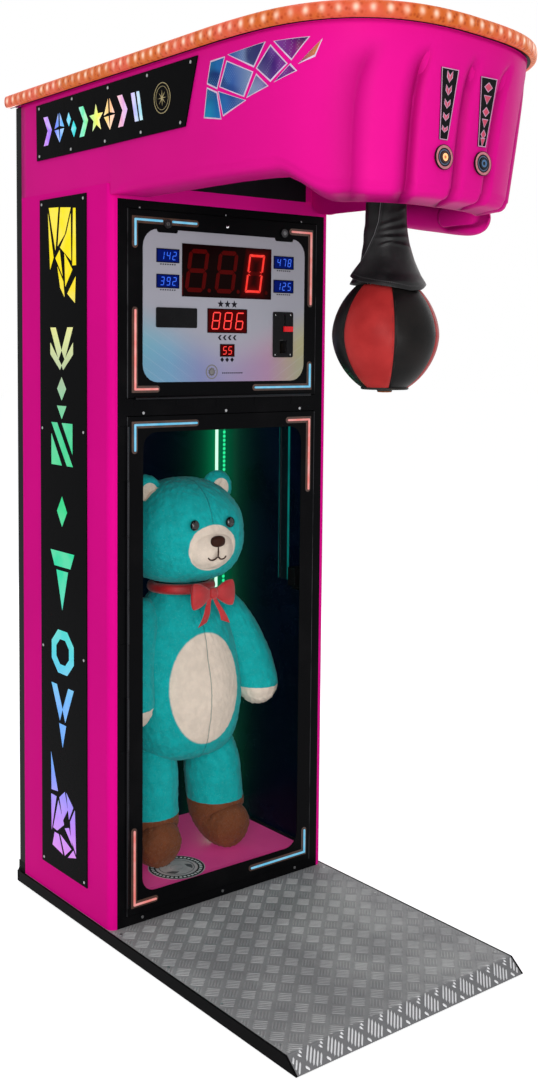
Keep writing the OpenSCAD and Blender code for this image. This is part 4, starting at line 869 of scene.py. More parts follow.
def stripBeds(name, paths, body):
    # dark glossy channel that each strip lies in; its faint reddish glow is painted light from the strip
    points, faces = [], []
    for path in paths:
        rim = bedOutline(path, strips["bedHalf"])
        start, n = len(points), len(rim)
        points += [(x, depth, z) for depth in (strips["bedFront"], strips["bedBack"]) for x, z in rim]
        faces += [[start + k for k in range(n)], [start + n + k for k in range(n)][::-1]]
        faces += [[start + k, start + (k + 1) % n, start + n + (k + 1) % n, start + n + k] for k in range(n)]
    f = Finish(name + "Finish")
    cloud = f.cloud(30.0, 2.0, 0.3, 0.7)
    colour = f.mix(cloud, (0.046, 0.026, 0.021), (0.072, 0.038, 0.028))
    bedWithPaintedGlow = f.skin(baseColor=colour, roughness=0.2, gloss=0.3, emissionColor=colour, emissionStrength=0.35)
    piece = makePiece(name, points, faces, body, bedWithPaintedGlow, soft=False)


def cornerPaths(corners):
    # each strip runs along the height z from x to its door's edge, then up or down to zEnd
    return [((x, z), (math.copysign(strips["edge"], x), z), (math.copysign(strips["edge"], x), zEnd))
            for x, z, zEnd in corners]


displayBeds = cornerPaths([(-99, 1808, 1747), (215, 1808, 1617), (-216, 1393, 1587), (94, 1393, 1453)])
prizeBeds = cornerPaths([(-96, 1305, 1242), (209, 1303, 1112), (-217, 85, 276), (95, 85, 147)])
stripBeds("displayStripBeds", displayBeds, "display_door")
stripBeds("prizeStripBeds", prizeBeds, "prize_door")
print("displays and strips done")


# art on the sides: a spray of shards on the head, each a lit print inside a pale outline
def flankSurface(side, lift):
    # x = side (half width + flare + growth) along the flank, and the super-ellipse past its widest point
    def surface(y, z):
        grow = wallGrow(np.full(y.shape, -350.0 * side), np.maximum(y, -650), z) + lift
        curved, plainY = np.full(y.shape, 360.0), y
        for _ in range(6):
            plainY = y - slantAt(side * curved, plainY)
            t = np.clip((head["widest"] - plainY) / (head["bulge"] + grow), 0, 0.999)
            curved = (head["halfWidth"] + grow) * (1 - t ** head["power"]) ** (1 / head["power"])
        return np.stack([side * np.where(y > head["widest"], cabinet["x"] + flare(y) + grow, curved), y, z], -1)
    return surface


shards = [((-410, 1988), (-466, 1978), (-456, 2030), (-424, 2044)),
          ((-426, 2056), (-458, 2042), (-486, 2098), (-440, 2096)),
          tri((-476, 1984), (-546, 2004), (-464, 2032)), ((-470, 2042), (-542, 2014), (-572, 2056), (-496, 2088)),
          tri((-502, 2102), (-578, 2068), (-612, 2108)), tri((-554, 2010), (-612, 2024), (-584, 2048)),
          ((-588, 2062), (-622, 2034), (-664, 2060), (-628, 2098)), tri((-634, 2030), (-684, 2044), (-672, 2056)),
          tri((-678, 2068), (-640, 2106), (-716, 2104)), tri((-694, 2058), (-726, 2070), (-740, 2096))]
f = Finish("shardPrint")
colour = f.ramp(f.rescale(f.y, depthOf(-405), depthOf(-740), kind="LINEAR"), (0.0, (0.008, 0.28, 0.44)),
                (0.15, (0.010, 0.13, 0.36)), (0.32, (0.035, 0.10, 0.33)), (0.5, (0.19, 0.26, 0.40)),
                (0.68, (0.17, 0.05, 0.30)), (0.84, (0.16, 0.015, 0.16)), (1.0, (0.62, 0.20, 0.02)))
depth = f.cloud(11.0, 1.0, 0.46, 0.6) * f.rescale(f.z, 1.99, 2.09, 0.25, 0.95)
colour = f.mix(depth * 0.9, colour, (0.006, 0.003, 0.09))
turned = f.shifted(turn=(math.radians(38), 0, 0))
dots = f.cells(210.0, turned, 0.0)
colour = f.mix(f.rescale(dots, 0.32, 0.22) * 0.14, colour, (0.55, 0.62, 0.75))
shardPrint = f.skin(baseColor=colour, roughness=0.25, gloss=0.04, emissionColor=colour, emissionStrength=0.12)
shardEdge = plain("shardEdge", (0.74, 0.58, 0.78), 0.35, edge=0.0)
for side, word in sides:
    patches("shardEdges" + word, [widen(shape, 4.0) for shape in shards], flankSurface(side, 0.35), "machine",
            shardEdge, (side, 0, 0), steps=6, thickness=0.6)
    patches("shards" + word, shards, flankSurface(side, 0.6), "machine", shardPrint, (side, 0, 0), steps=6,
            thickness=0.6)


def chevron(y, z, width, height, point):
    # arrowhead band pointing towards -y when point is positive
    w, h = width / 2, height / 2
    return [((y + w, z + h), (y, z + h), (y - point, z), (y + w - point, z)),
            ((y + w, z - h), (y, z - h), (y - point, z), (y + w - point, z))]


def gem(y, z, width, height, gap=4):
    # four triangles, the two lower ones meeting at the foot
    w, h = width / 2, height / 2
    upper = [tri((y + s * w, z), (y + s * gap, z + h), (y + s * gap, z + gap)) for s in (1, -1)]
    return upper + [tri((y + s * w, z - gap), (y, z - h), (y + s * gap, z - gap)) for s in (1, -1)]


def polar(y, z, radius, degrees):
    return (y + radius * math.cos(math.radians(degrees)), z + radius * math.sin(math.radians(degrees)))


def ringShape(y, z, outer, inner, count, start=0.0):
    # a ring of count four-cornered pieces
    angles = [(start + k * 360 / count, start + (k + 1) * 360 / count) for k in range(count)]
    return [(polar(y, z, outer, p), polar(y, z, outer, q), polar(y, z, inner, q), polar(y, z, inner, p))
            for p, q in angles]


def starShape(y, z, outer, inner, points=5):
    # one kite from the middle to each point, the first point straight up
    half = 180 / points
    return [((y, z), polar(y, z, inner, m - half), polar(y, z, outer, m), polar(y, z, inner, m + half))
            for m in (90 + 2 * k * half for k in range(points))]


def rhombus(y, z, width, height):
    w, h = width / 2, height / 2
    return [((y - w, z), (y, z - h), (y + w, z), (y, z + h))]


# sign along the head: a row of cut shapes, lit from behind in the colours of the rainbow, and a ringed star
sign = dict(mid=2047, height=72, first=292, step=-62, lift=4.7, emblem=(-252, 2050))
shapes = []
for k in range(8):
    y, z = sign["first"] + k * sign["step"], sign["mid"] - 0.02 * k
    if k in (0, 3, 6):
        shapes += chevron(y, z, 44, sign["height"], 22)
    elif k in (1, 5):
        shapes += gem(y, z, 50, sign["height"])
    elif k == 2:
        shapes += rhombus(y + 12, z + 14, 22, 34) + rhombus(y - 12, z - 12, 26, 40)
    elif k == 4:
        shapes += starShape(y, z - 2, 34, 14)
    else:
        shapes += [((y + 22, z + 33), (y + 6, z + 33), (y - 8, z - 33), (y + 8, z - 33)),
                   ((y - 2, z + 33), (y - 14, z + 33), (y - 26, z - 33), (y - 14, z - 33))]
emblem = ringShape(*sign["emblem"], 34, 32.2, 40) + ringShape(*sign["emblem"], 26, 25, 32) \
    + starShape(*sign["emblem"], 17, 3.5, 8)
f = Finish("signLight")
colour = f.ramp(f.rescale(f.y, depthOf(325), depthOf(-180), kind="LINEAR"), (0.0, (0.62, 0.16, 0.85)),
                (0.14, (0.20, 0.22, 0.90)), (0.30, (0.03, 0.62, 0.80)), (0.44, (0.10, 0.75, 0.35)),
                (0.58, (0.85, 0.80, 0.12)), (0.72, (0.92, 0.45, 0.30)), (0.86, (0.55, 0.28, 0.80)),
                (1.0, (0.25, 0.75, 0.70)))
pale = f.cloud(38.0, 1.0, 0.4, 0.6)
colour = f.mix(pale * 0.25, colour, (0.92, 0.92, 0.92))
signLight = f.skin(baseColor=colour, roughness=0.3, gloss=0.04, emissionColor=colour, emissionStrength=0.45)
goldLine = plain("goldLine", (0.42, 0.34, 0.16), 0.35, edge=0.0)
for side, word in sides:
    surface = flankSurface(side, sign["lift"])
    patches("signShapes" + word, shapes, surface, "machine", signLight, (side, 0, 0), steps=2)
    patches("signEmblem" + word, emblem, surface, "machine", goldLine, (side, 0, 0))


# tall panel on each side: cut-out shapes lit from yellow at the top to violet at the bottom
def panelSurface(side):
    # the upright plane just outside the tall panel's face
    return lambda y, z: np.stack([np.full(y.shape, side * 353.45), y, z], -1)


def mirrored(shape, middle=232):
    return [shape, tuple((2 * middle - y, z) for y, z in shape)]


column = [tri((296, 1852), (246, 1850), (262, 1742)), ((236, 1849), (184, 1845), (214, 1780), (250, 1752)),
          tri((300, 1838), (272, 1724), (290, 1694)), ((172, 1843), (160, 1842), (158, 1700), (176, 1700)),
          ((206, 1782), (184, 1830), (182, 1712), (238, 1748)), tri((262, 1722), (240, 1742), (226, 1676)),
          tri((216, 1732), (176, 1690), (212, 1648)), ((222, 1662), (252, 1700), (238, 1646), (216, 1622)),
          tri((160, 1672), (202, 1630), (164, 1606))]
column += mirrored(((290, 1545), (262, 1545), (232, 1486), (248, 1462)))
column += mirrored(((290, 1506), (290, 1476), (240, 1436), (232, 1448)))
column += rhombus(232, 1388, 46, 60) + [tri((256, 1344), (208, 1344), (232, 1310))]
column += [((286, 1300), (256, 1300), (176, 1190), (206, 1190)), tri((286, 1270), (286, 1190), (232, 1190)),
           tri((178, 1300), (178, 1222), (232, 1300))]
column += rhombus(232, 1070, 52, 78)
column += [((292, 965), (170, 965), (190, 925), (272, 925)), tri((262, 915), (202, 915), (232, 812))]
column += ringShape(231, 700, 62, 36, 8, 22.5)
column += mirrored(((290, 610), (262, 610), (232, 548), (246, 516))) + [tri((250, 508), (214, 508), (232, 446))]
column += [tri((294, 420), (258, 322), (292, 318)), ((250, 308), (222, 330), (206, 286), (232, 250)),
           tri((294, 306), (266, 306), (292, 208)), ((256, 298), (226, 240), (262, 214), (284, 216)),
           tri((214, 330), (178, 300), (200, 262)), ((170, 296), (164, 180), (190, 214), (194, 258)),
           tri((222, 232), (200, 240), (182, 196)), ((276, 206), (254, 206), (232, 158), (288, 168)),
           tri((246, 208), (188, 186), (222, 158)), tri((178, 186), (164, 170), (206, 158))]
f = Finish("columnLight")
colour = f.ramp(f.rescale(f.z, 0.15, 1.86, kind="LINEAR"), (0.0, (0.66, 0.22, 0.78)), (0.06, (0.45, 0.22, 0.85)),
                (0.14, (0.14, 0.34, 0.86)), (0.24, (0.14, 0.40, 0.85)), (0.32, (0.09, 0.60, 0.66)),
                (0.42, (0.03, 0.62, 0.36)), (0.55, (0.03, 0.60, 0.22)), (0.67, (0.05, 0.56, 0.26)),
                (0.74, (0.36, 0.46, 0.30)), (0.80, (0.62, 0.66, 0.28)), (0.87, (0.85, 0.66, 0.008)),
                (1.0, (0.88, 0.72, 0.004)))
uneven = f.cloud(16.0, 2.0, 0.35, 0.65)
colour = f.mix(uneven * 0.08, colour, (0.85, 0.88, 0.85))
columnLight = f.skin(baseColor=colour, roughness=0.28, gloss=0.04, emissionColor=colour, emissionStrength=0.42)
for side, word in sides:
    patches("columnShapes" + word, column, panelSurface(side), "machine", columnLight, (side, 0, 0))
print("side art done")

# punch ball: six leather gores, alternately red and black, flattened round the foot
ball = dict(centre=(0.0, -592.0, 1529.0), radius=119.0, over=139.0, under=134.0, power=1.8, firstSeam=55.9,
            topZ=110.0, footZ=-115.5, patch=18.5, footScale=0.88, footDrop=7.0,
            foot=((60.6, -109.6), (60.4, -112.4), (57.4, -113.8), (54.6, -112.6), (53.2, -110.6), (46, -111.2),
                  (37, -112.0), (28, -112.8), (21.5, -113.2), (19.6, -113.8), (19.2, -117.8), (17.2, -119.8),
                  (10, -120.3), (0.0005, -120.4)))


def ballHalf(z):
    # half width at a height: |r/radius|^p + |z/half height|^p = 1
    tall = np.where(z > 0, ball["over"], ball["under"])
    return ball["radius"] * (1 - (np.abs(z) / tall) ** ball["power"]) ** (1 / ball["power"])


def ballSurface(cols=240):
    # radius(angle, height) = half width - groove exp(-(d/2.3)^2) - slack exp(-d/16), d = distance to the nearest seam
    z = ball["topZ"] - (ball["topZ"] - ball["footZ"]) * (1 - np.cos(np.linspace(0, np.pi, 110))) / 2
    a = aroundOnce(cols)
    fromSeam = (np.degrees(a) - ball["firstSeam"] + 30) % 60 - 30
    half = ballHalf(z)[:, None]
    d = np.abs(np.radians(fromSeam))[None] * half
    r = half - 1.4 * np.exp(-(d / 2.3) ** 2) - 1.6 * np.exp(-d / 16) + 0.2
    rows = np.stack([r * np.cos(a), r * np.sin(a), z[:, None] + 0 * r], -1)
    # foot: piping ring, then a low domed panel with a round patch
    low = np.array(ball["foot"]) * (ball["footScale"], 1) - (0, ball["footDrop"])
    footR, footZ = low[:, :1], low[:, 1:]
    foot = np.stack([footR * np.cos(a), footR * np.sin(a), footZ + 0 * a], -1)
    crown = rows[:1] * (0.000005, 0.000005, 1)
    return np.concatenate([crown, rows, foot]) + ball["centre"]


f = Finish("ballLeather")
cx, cy, cz = ball["centre"]
turn = f.angleRound(mm(cx), depthOf(cy))
wave = ((turn * 3.0) - math.radians(3 * ball["firstSeam"])).sine()
out = f.awayFrom(mm(cx), depthOf(cy))
low = f.z < mm(cz + ball["footZ"])
panel = low * (out < mm(56.0))
patchMask = low * (out < mm(ball["patch"] * ball["footScale"] + 0.4))
redGore = (wave > 0.0) * (1 - panel)
mottle = f.cloud(14.0, 4.0, 0.35, 0.7)
redTone = f.mix(mottle, (0.45, 0.030, 0.029), (0.35, 0.020, 0.020))
blackTone = f.mix(mottle, (0.006, 0.0055, 0.0055), (0.011, 0.009, 0.0085))
seamShade = f.fade(abs(wave), 0.0, 0.05)
colour = f.mix(redGore, blackTone, redTone)
colour = f.mix(seamShade * (1 - panel) * 0.75, colour, (0.008, 0.004, 0.004))
colour = f.mix(panel, colour, f.mix(mottle, (0.020, 0.017, 0.015), (0.012, 0.010, 0.010)))
colour = f.mix(patchMask, colour, (0.42, 0.13, 0.035))
cells = f.cells(620.0)
creases = f.noise(52.0, 5.0, 0.6)
grain = cells * 0.35 + creases * 0.9
stitch = f.fade(abs(abs(wave) - 0.11), 0.0, 0.018) * f.rescale((f.z * 190.0).sine(), -0.2, 0.3)
stitch = stitch * (1 - panel)
colour = f.mix(stitch * 0.8, colour, (0.045, 0.03, 0.028))
ballLeather = f.skin(baseColor=colour, roughness=mottle * 0.08 + 0.34, gloss=0.09,
                     normal=f.bump(grain + stitch * 1.2, 0.0009, 0.35))
punchBall = gridPiece("punchBall", ballSurface(), "bag", ballLeather)
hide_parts("punch_bag")

# sleeve: one leather sheet wrapped round the neck, its lap edge running down across the front to a loose corner
sleeve = dict(view=226.1, top=1837.0, thickness=1.7, turns=1.09,
              radiusZ=(1837, 1829, 1800, 1769, 1740, 1715, 1690, 1665, 1650, 1640, 1620),
              radius=(41, 41.5, 42.5, 44, 47.5, 52, 58, 68, 77, 82, 86),
              lapZ=(1837, 1820, 1775, 1745, 1715, 1686, 1658), lap=(-12, -14, -19, -30, -48, -68, -88),
              hemAt=(-95, -88, -45, 0, 35, 62, 85, 150, 230, 300),
              hem=(1655, 1659, 1644, 1633, 1625, 1628, 1640, 1642, 1640, 1641),
              folds=((1774, 0.26, 4.5, 2.3, 18, 26), (1757, 0.16, 5.0, 2.8, 34, 34), (1741, 0.05, 4.6, 3.0, 22, 36),
                     (1727, -0.12, 4.0, 2.0, 44, 26), (1793, 0.34, 5.0, 1.3, 52, 22), (1733, 0.3, 3.2, 1.6, 0, 14)))


def sleeveSurface(rows=110, cols=260):
    # angle = lap(z) + s turns 360; radius = profile(z) + 4.4 (1 - s) + soft folds; z runs from the top to hem(angle)
    s = np.linspace(0, 1, cols)[None]
    t = np.linspace(0, 1, rows)[:, None]
    z = np.full((rows, cols), 1700.0)
    for _ in range(4):
        lap = np.interp(-z, -np.array(sleeve["lapZ"], float), sleeve["lap"])
        angle = lap + s * sleeve["turns"] * 360
        hem = np.interp(angle, sleeve["hemAt"], sleeve["hem"])
        z = sleeve["top"] + (hem - sleeve["top"]) * t
    profile = curveThrough(np.array([sleeve["radiusZ"], sleeve["radius"]]).T, 300)
    r = np.interp(-z, -profile[:, 0], profile[:, 1])
    r = r + 4.4 * (1 - s) + 6.0 * np.exp(-s * 24) * smooth((1705 - z) / 45)
    # folds: each a ridge of this width and size along height = middle + slope angle, within reach of the angle at
    for middle, slope, width, size, at, reach in sleeve["folds"]:
        ridge = np.exp(-((z - middle - slope * (angle - 20)) / width) ** 2)
        r = r + size * ridge * np.exp(-((angle - at) / reach) ** 2)
    back = np.exp(-((angle - 200) / 70) ** 2)
    r = r + back * 1.6 * np.sin(z / 7.5) * smooth((1800 - z) / 30) * smooth((z - 1690) / 30)
    # long soft flutes towards the hem
    flute = np.sin(np.radians(angle) * 4 + 0.7) * 1.5 + np.sin(np.radians(angle) * 3 + 2.0) * 1.2
    r = r + flute * smooth((1730 - z) / 70)
    # the hem stays clear of the ball
    r = np.maximum(r, ballHalf(np.clip(z - ball["centre"][2], 0, 135)) + 2.2)
    around = np.radians(sleeve["view"] + angle)
    lean = smooth((1765 - z) / 100) * 6.0 - 4.0
    x = ball["centre"][0] + r * np.cos(around) + lean * 0.78
    y = ball["centre"][1] + r * np.sin(around) - lean * 0.63
    return np.stack([x, y, z + 0 * r], -1), s, t


f = Finish("sleeveLeather")
cells = f.cells(520.0)
creases = f.noise(40.0, 5.0, 0.62, at=f.shifted(scale=(1, 1, 1.8)))
worn = f.cloud(22.0, 3.0, 0.4, 0.72)
colour = f.mix(worn, (0.006, 0.006, 0.0065), (0.015, 0.014, 0.015))
u, v = f.along(0), f.along(1)
seamLine = f.fade(abs(v - 0.955), 0.004, 0.009).most(f.fade(abs(u - 0.014), 0.0012, 0.003))
thread = seamLine * f.rescale((u * 900.0).sine(), -0.3, 0.2)
colour = f.mix(thread * 0.6, colour, (0.05, 0.05, 0.052))
# painted highlight: a light grey line along the lap edge
lapEdgeHighlight = f.fade(u, 0.0035, 0.0055)
colour = f.mix(lapEdgeHighlight * 0.85, colour, (0.20, 0.20, 0.21))
sleeveLeather = f.skin(baseColor=colour, roughness=worn * 0.1 + 0.36, gloss=0.22,
                       normal=f.bump(cells * 0.3 + creases - seamLine * 0.9, 0.0011, 0.4))
grid, s, t = sleeveSurface()
uvs = np.stack(np.broadcast_arrays(s, t), -1).reshape(-1, 2)
wrap = gridPiece("sleeveWrap", grid, "bag", sleeveLeather, loopCols=False, closed=False, uv=uvs)
modify(wrap, "SOLIDIFY", thickness=mm(sleeve["thickness"]), offset=0.0)
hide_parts("bag_sleeve")
print("ball and sleeve done")

# tread plate: five-bar pattern, each row's groups turned against the next row's
tread = dict(halfX=350.0, front=-734.0, slope=36.0, top=33.0, low=3.0, back=-1.0, pitch=29.25, bars=5, spacing=7.2,
             length=33.0, width=4.2, rise=1.5, noseRise=2.1)


def treadBars():
    # each bar is a lens: six corners at the foot, six smaller ones on top
    rowCount = int((tread["back"] - tread["front"]) / tread["pitch"]) + 2
    r, c, k = np.meshgrid(np.arange(rowCount), np.arange(-7, 8), np.arange(tread["bars"]), indexing="ij")
    r, c, k = r.ravel(), c.ravel(), k.ravel()
    kind = np.where(r % 2 == 0, 1, -1)
    x = c * 2 * tread["pitch"] + (r % 2) * tread["pitch"]
    y = tread["back"] - 14 - r * tread["pitch"]
    off = (k - (tread["bars"] - 1) / 2) * tread["spacing"]
    d = np.stack([np.ones(len(r)), kind], -1) / math.sqrt(2)
    n = np.stack([-d[:, 1], d[:, 0]], -1)
    centre = np.stack([x, y], -1) + n * off[:, None]
    # each bar is cut back where it would cross an edge of the plate
    half = tread["length"] / 2
    lowT, highT = np.full(len(r), -half), np.full(len(r), half)
    for axis, (a, b) in enumerate(((-tread["halfX"] + 2, tread["halfX"] - 2), (tread["front"] + 2, tread["back"]))):
        t1, t2 = (a - centre[:, axis]) / d[:, axis], (b - centre[:, axis]) / d[:, axis]
        lowT = np.maximum(lowT, np.minimum(t1, t2))
        highT = np.minimum(highT, np.maximum(t1, t2))
    keep = highT - lowT > 6
    centre, d, n, lowT, highT = (v[keep] for v in (centre, d, n, lowT, highT))
    middle, reach = (lowT + highT) / 2, (highT - lowT) / 2
    centre = centre + d * middle[:, None]
    rim = np.array([(-1, 0), (-0.72, 0.5), (0.72, 0.5), (1, 0), (0.72, -0.5), (-0.72, -0.5)])
    points = []
    for shrinkBy, rise in ((1.0, -0.15), (0.80, tread["rise"])):
        local = rim * (1.0, shrinkBy)
        lengthways = local[None, :, 0] * (reach[:, None] - (1 - shrinkBy) * 5)
        sideways = local[None, :, 1] * tread["width"] * shrinkBy
        flat = centre[:, None] + d[:, None] * lengthways[..., None] + n[:, None] * sideways[..., None]
        points.append(np.dstack([flat, np.full(flat.shape[:2], rise)]))
    points = np.concatenate(points, 1)
    # the nose slopes: height = top - (slope start - y) (top - low) / slope
    y = points[..., 1]
    onNose = (y.mean(1) < tread["front"] + tread["slope"])[:, None]
    points[..., 2] = np.where(onNose & (points[..., 2] > 0), tread["noseRise"], points[..., 2])
    down = np.clip(tread["front"] + tread["slope"] - y, 0, None) * (tread["top"] - tread["low"]) / tread["slope"]
    points[..., 2] += tread["top"] - down
    faces = [[6, 7, 8, 9, 10, 11], [5, 4, 3, 2, 1, 0]] + [[i, (i + 1) % 6, 6 + (i + 1) % 6, 6 + i] for i in range(6)]
    polygons = [[v + 12 * i for v in face] for i in range(len(points)) for face in faces]
    return points.reshape(-1, 3), polygons


def treadMetal(name, bright):
    f = Finish(name)
    scuff = f.rescale(f.noise(6.0, 5.0, 0.6), 0.3, 0.75)
    fine = f.noise(180.0, 3.0)
    nose = f.rescale(f.y, depthOf(-690), depthOf(-702))
    # painted highlight: the bars' copy is lighter than the plate's and near white on the nose, where the plate's copy
    # is darker as painted shade
    base = 0.275 if bright else 0.232
    colour = f.mix(scuff, (base, base, base * 1.02), (base * 1.5, base * 1.5, base * 1.5))
    colour = f.mix(nose, colour, (0.72, 0.72, 0.73) if bright else (0.175, 0.175, 0.18))
    return f.skin(baseColor=colour, metallic=0.2, gloss=0.08, roughness=fine * 0.2 + 0.44 - nose * 0.12,
                  normal=f.bump(fine, 0.0002, 0.3, f.rounded(0.0008)))


dress(treadMetal("treadPlateMetal", False), "tread_plate")
points, faces = treadBars()
bars = makePiece("treadBars", points, faces, "machine", treadMetal("treadBarMetal", True), closed=False, soft=False)
print("tread done")

# showcase: dark lining with a lit tube and a column of small lamps in the far right corner
showcase = dict(floor=100.3, tubeX=(261.5, 272.5), tubeY=402, tubeZ=(140, 1306), dotX=295.5, dotPitch=12.5,
                dotZ=(150, 1330), floorHalf=285)
f = Finish("liningDark")
back = f.y > depthOf(385)
(tubeLeft, tubeRight), (tubeLow, tubeHigh) = showcase["tubeX"], showcase["tubeZ"]
toTube = f.awayFrom(mm((tubeLeft + tubeRight) / 2), depthOf(showcase["tubeY"]))
tube = f.x.within(mm(tubeLeft), mm(tubeRight)) * (f.y < depthOf(showcase["tubeY"] + 0.6)) * back
tube = tube * f.z.within(mm(tubeLow), mm(tubeHigh))
dotZ = abs((f.z / mm(showcase["dotPitch"])) % 1.0 - 0.5)
dotX = abs(f.x - mm(showcase["dotX"])) / mm(showcase["dotPitch"])
dot = f.fade(dotZ * dotZ + dotX * dotX, 0.07, 0.24) * back * f.z.within(*(mm(z) for z in showcase["dotZ"]))
strip = back * f.fade(dotX, 0.45, 0.55)
# painted light: a green glow round the tube and a faint blue glow over the whole lining
halo = (toTube * -30.0).exp()
cloud = f.cloud(5.0, 3.0, 0.3, 0.75)
colour = f.mix(cloud, (0.0008, 0.0012, 0.004), (0.0016, 0.0024, 0.008))
colour = f.mix(strip, colour, (0.01, 0.05, 0.03))
shine = f.mix(halo * 0.42, f.mix(cloud, (0.0, 0.0003, 0.0016), (0.0001, 0.0008, 0.0045)), (0.0, 0.42, 0.14))
shine = f.mix(dot, shine, (0.02, 0.80, 0.30))
shine = f.mix(tube, shine, (0.62, 1.0, 0.78))
dress(f.skin(baseColor=colour, roughness=cloud * 0.1 + 0.25, gloss=0.05, emissionColor=shine, emissionStrength=1.2),
      "showcase_lining")
f = Finish("recessDark")  # dark liner, with a magenta band along its lower edge
cloud = f.cloud(6.0, 3.0, 0.3, 0.75)
lowBand = f.fade(f.z, 1.936, 1.946) * (abs(f.x) > 0.262).most(f.y < depthOf(-560))
colour = f.mix(cloud, (0.004, 0.004, 0.005), (0.008, 0.007, 0.009))
colour = f.mix(lowBand, colour, f.mix(cloud, (0.72, 0.003, 0.24), (0.66, 0.003, 0.22)))
dress(f.skin(baseColor=colour, roughness=cloud * 0.1 + 0.45, gloss=0.08), "recess_liner")
f = Finish("floorMagenta")  # the showcase floor glows inside its dark rim
cloud = f.cloud(6.0, 3.0, 0.3, 0.75)
inner = abs(f.x) < mm(showcase["floorHalf"])
colour = f.mix(inner, (0.02, 0.015, 0.02), f.mix(cloud, (0.66, 0.06, 0.26), (0.58, 0.05, 0.23)))
dress(f.skin(baseColor=colour, roughness=cloud * 0.1 + 0.3, emissionColor=f.mix(inner, (0, 0, 0), colour),
             emissionStrength=0.25), "showcase_floor")
f = Finish("clearGlass")  # almost clear, with faint smears
smear = f.cloud(5.0, 3.0, 0.5, 0.8)
dress(f.skin(baseColor=(0.004, 0.010, 0.012), roughness=0.03, gloss=0.04, alpha=smear * 0.02 + 0.03), "prize_glass")

# round plate on the floor: a plain disc with rings and small marks
badge = dict(centre=(-84.0, 95.0), radius=77.0)
f = Finish("floorDisc")
cx, cy = badge["centre"]
out = f.awayFrom(mm(cx), depthOf(cy)) / mm(badge["radius"])
angle = f.angleRound(mm(cx), depthOf(cy))
tick = (((angle * 5.7296) % 1.0).within(0.2, 0.8)) * out.within(0.80, 0.90)
ring = out.within(0.74, 0.965)
swirl = (out.within(0.36, 0.56) * ((angle * 0.4775 + out * 0.9) % 1.0).within(0.1, 0.42)).most(out.within(0.60, 0.63))
silver = f.mix(f.cloud(22.0, 3.0, 0.35, 0.65), (0.42, 0.45, 0.46), (0.55, 0.57, 0.58))
colour = f.mix(swirl, silver, (0.10, 0.12, 0.13))
colour = f.mix(ring, colour, (0.012, 0.02, 0.02))
colour = f.mix(tick, colour, (0.50, 0.56, 0.55))
# the disc's faint glow of its own colour is painted light
discFinish = f.skin(baseColor=colour, roughness=out * 0.1 + 0.25, gloss=0.05, metallic=(1 - ring) * 0.6,
                    emissionColor=colour, emissionStrength=0.15)
# points = centre + radius share (cos a, sin a), height over the floor, from the middle of the top to that of the foot
share, high = np.array([(0.00001, 0.5), (0.985, 0.5), (1.0, 0.35), (1.0, 0.0), (0.00001, 0.0)]).T[..., None]
a = aroundOnce(96)
grid = np.stack([badge["centre"][0] + share * badge["radius"] * np.cos(a),
                 badge["centre"][1] + share * badge["radius"] * np.sin(a), showcase["floor"] + high + 0 * a], -1)
disc = gridPiece("floorBadge", grid, "machine", discFinish, soft=False)

# upright rail on the right wall, its folded edges catching the lamps
rail = dict(wall=302.0, edge=296.2, groove=299.8, mid=121, z=(842, 1150, 1330))
f = Finish("railEdge")
edge = abs(f.y - depthOf(rail["mid"])) > mm(18.6)
uneven = f.cloud(12.0, 2.0, 0.3, 0.7)
shine = f.mix(edge, (0.0, 0.002, 0.003), f.mix(uneven, (0.0, 0.07, 0.065), (0.0, 0.15, 0.13)))
railEdge = f.skin(baseColor=(0.004, 0.006, 0.007), roughness=0.3, gloss=0.03, emissionColor=shine,
                  emissionStrength=1.0)
halfProfile = [(rail["wall"], 20), (rail["edge"], 20), (rail["edge"], 15), (rail["groove"], 13)]
profile = [(x, rail["mid"] - y) for x, y in halfProfile] + [(x, rail["mid"] + y) for x, y in halfProfile[::-1]]
points = np.array([[(x, y, z) for x, y in profile] for z in rail["z"]])
caps = [list(range(8)), [16 + k for k in range(8)][::-1]]
makePiece("liningRail", points.reshape(-1, 3), gridFaces(3, 8, False, True).tolist() + caps, "machine", railEdge,
          soft=False)
print("showcase done")


# plush bear: swept forms, radius(t) across a bent path; colours and seams come from the material
bear = dict(y=205.0, floor=100.3, muzzle=(0, -118, 862), muzzleSize=(78, 58, 58), muzzlePower=2.2, ear=(118, 1008),
            body=([(0, 0, z) for z in (262, 268, 290, 330, 390, 460, 540, 620, 690, 735, 752, 757)],
                  (1, 62, 124, 160, 178, 182, 171, 150, 119, 84, 52, 1), 0.8),
            head=([(0, -10, z) for z in (758, 762, 775, 800, 850, 905, 955, 1000, 1026, 1039, 1043)],
                  (1, 66, 112, 147, 171, 176, 163, 127, 86, 44, 1), 0.86),
            arm=([(92, 0, 704), (104, -2, 699), (124, -5, 684), (148, -15, 648), (178, -32, 590), (199, -56, 520),
                  (208, -80, 455), (206, -92, 424), (204, -99, 406), (203, -102, 398)],
                 (1, 26, 44, 57, 61, 63, 60, 47, 27, 1), 1.0),
            leg=([(82, 0, 334), (86, 0, 322), (95, -3, 296), (104, -7, 240), (110, -12, 160), (112, -24, 98),
                  (114, -44, 68), (116, -76, 62), (116, -100, 60), (116, -114, 58), (116, -119, 57)],
                 (1, 36, 64, 78, 80, 78, 68, 64, 54, 26, 1), 1.0))


def plushForm(path, radii, deep, side=1, rows=90, cols=64):
    # a tube whose centre and radius both run smoothly through the numbers given
    centre = curveThrough(np.array(path, float) * (side, 1, 1), rows)
    radius = np.clip(curveThrough(radii, rows)[:, 0], 0.05, None)
    return tubeRound(centre, radius, cols, (1.0, 0, 0), deep)


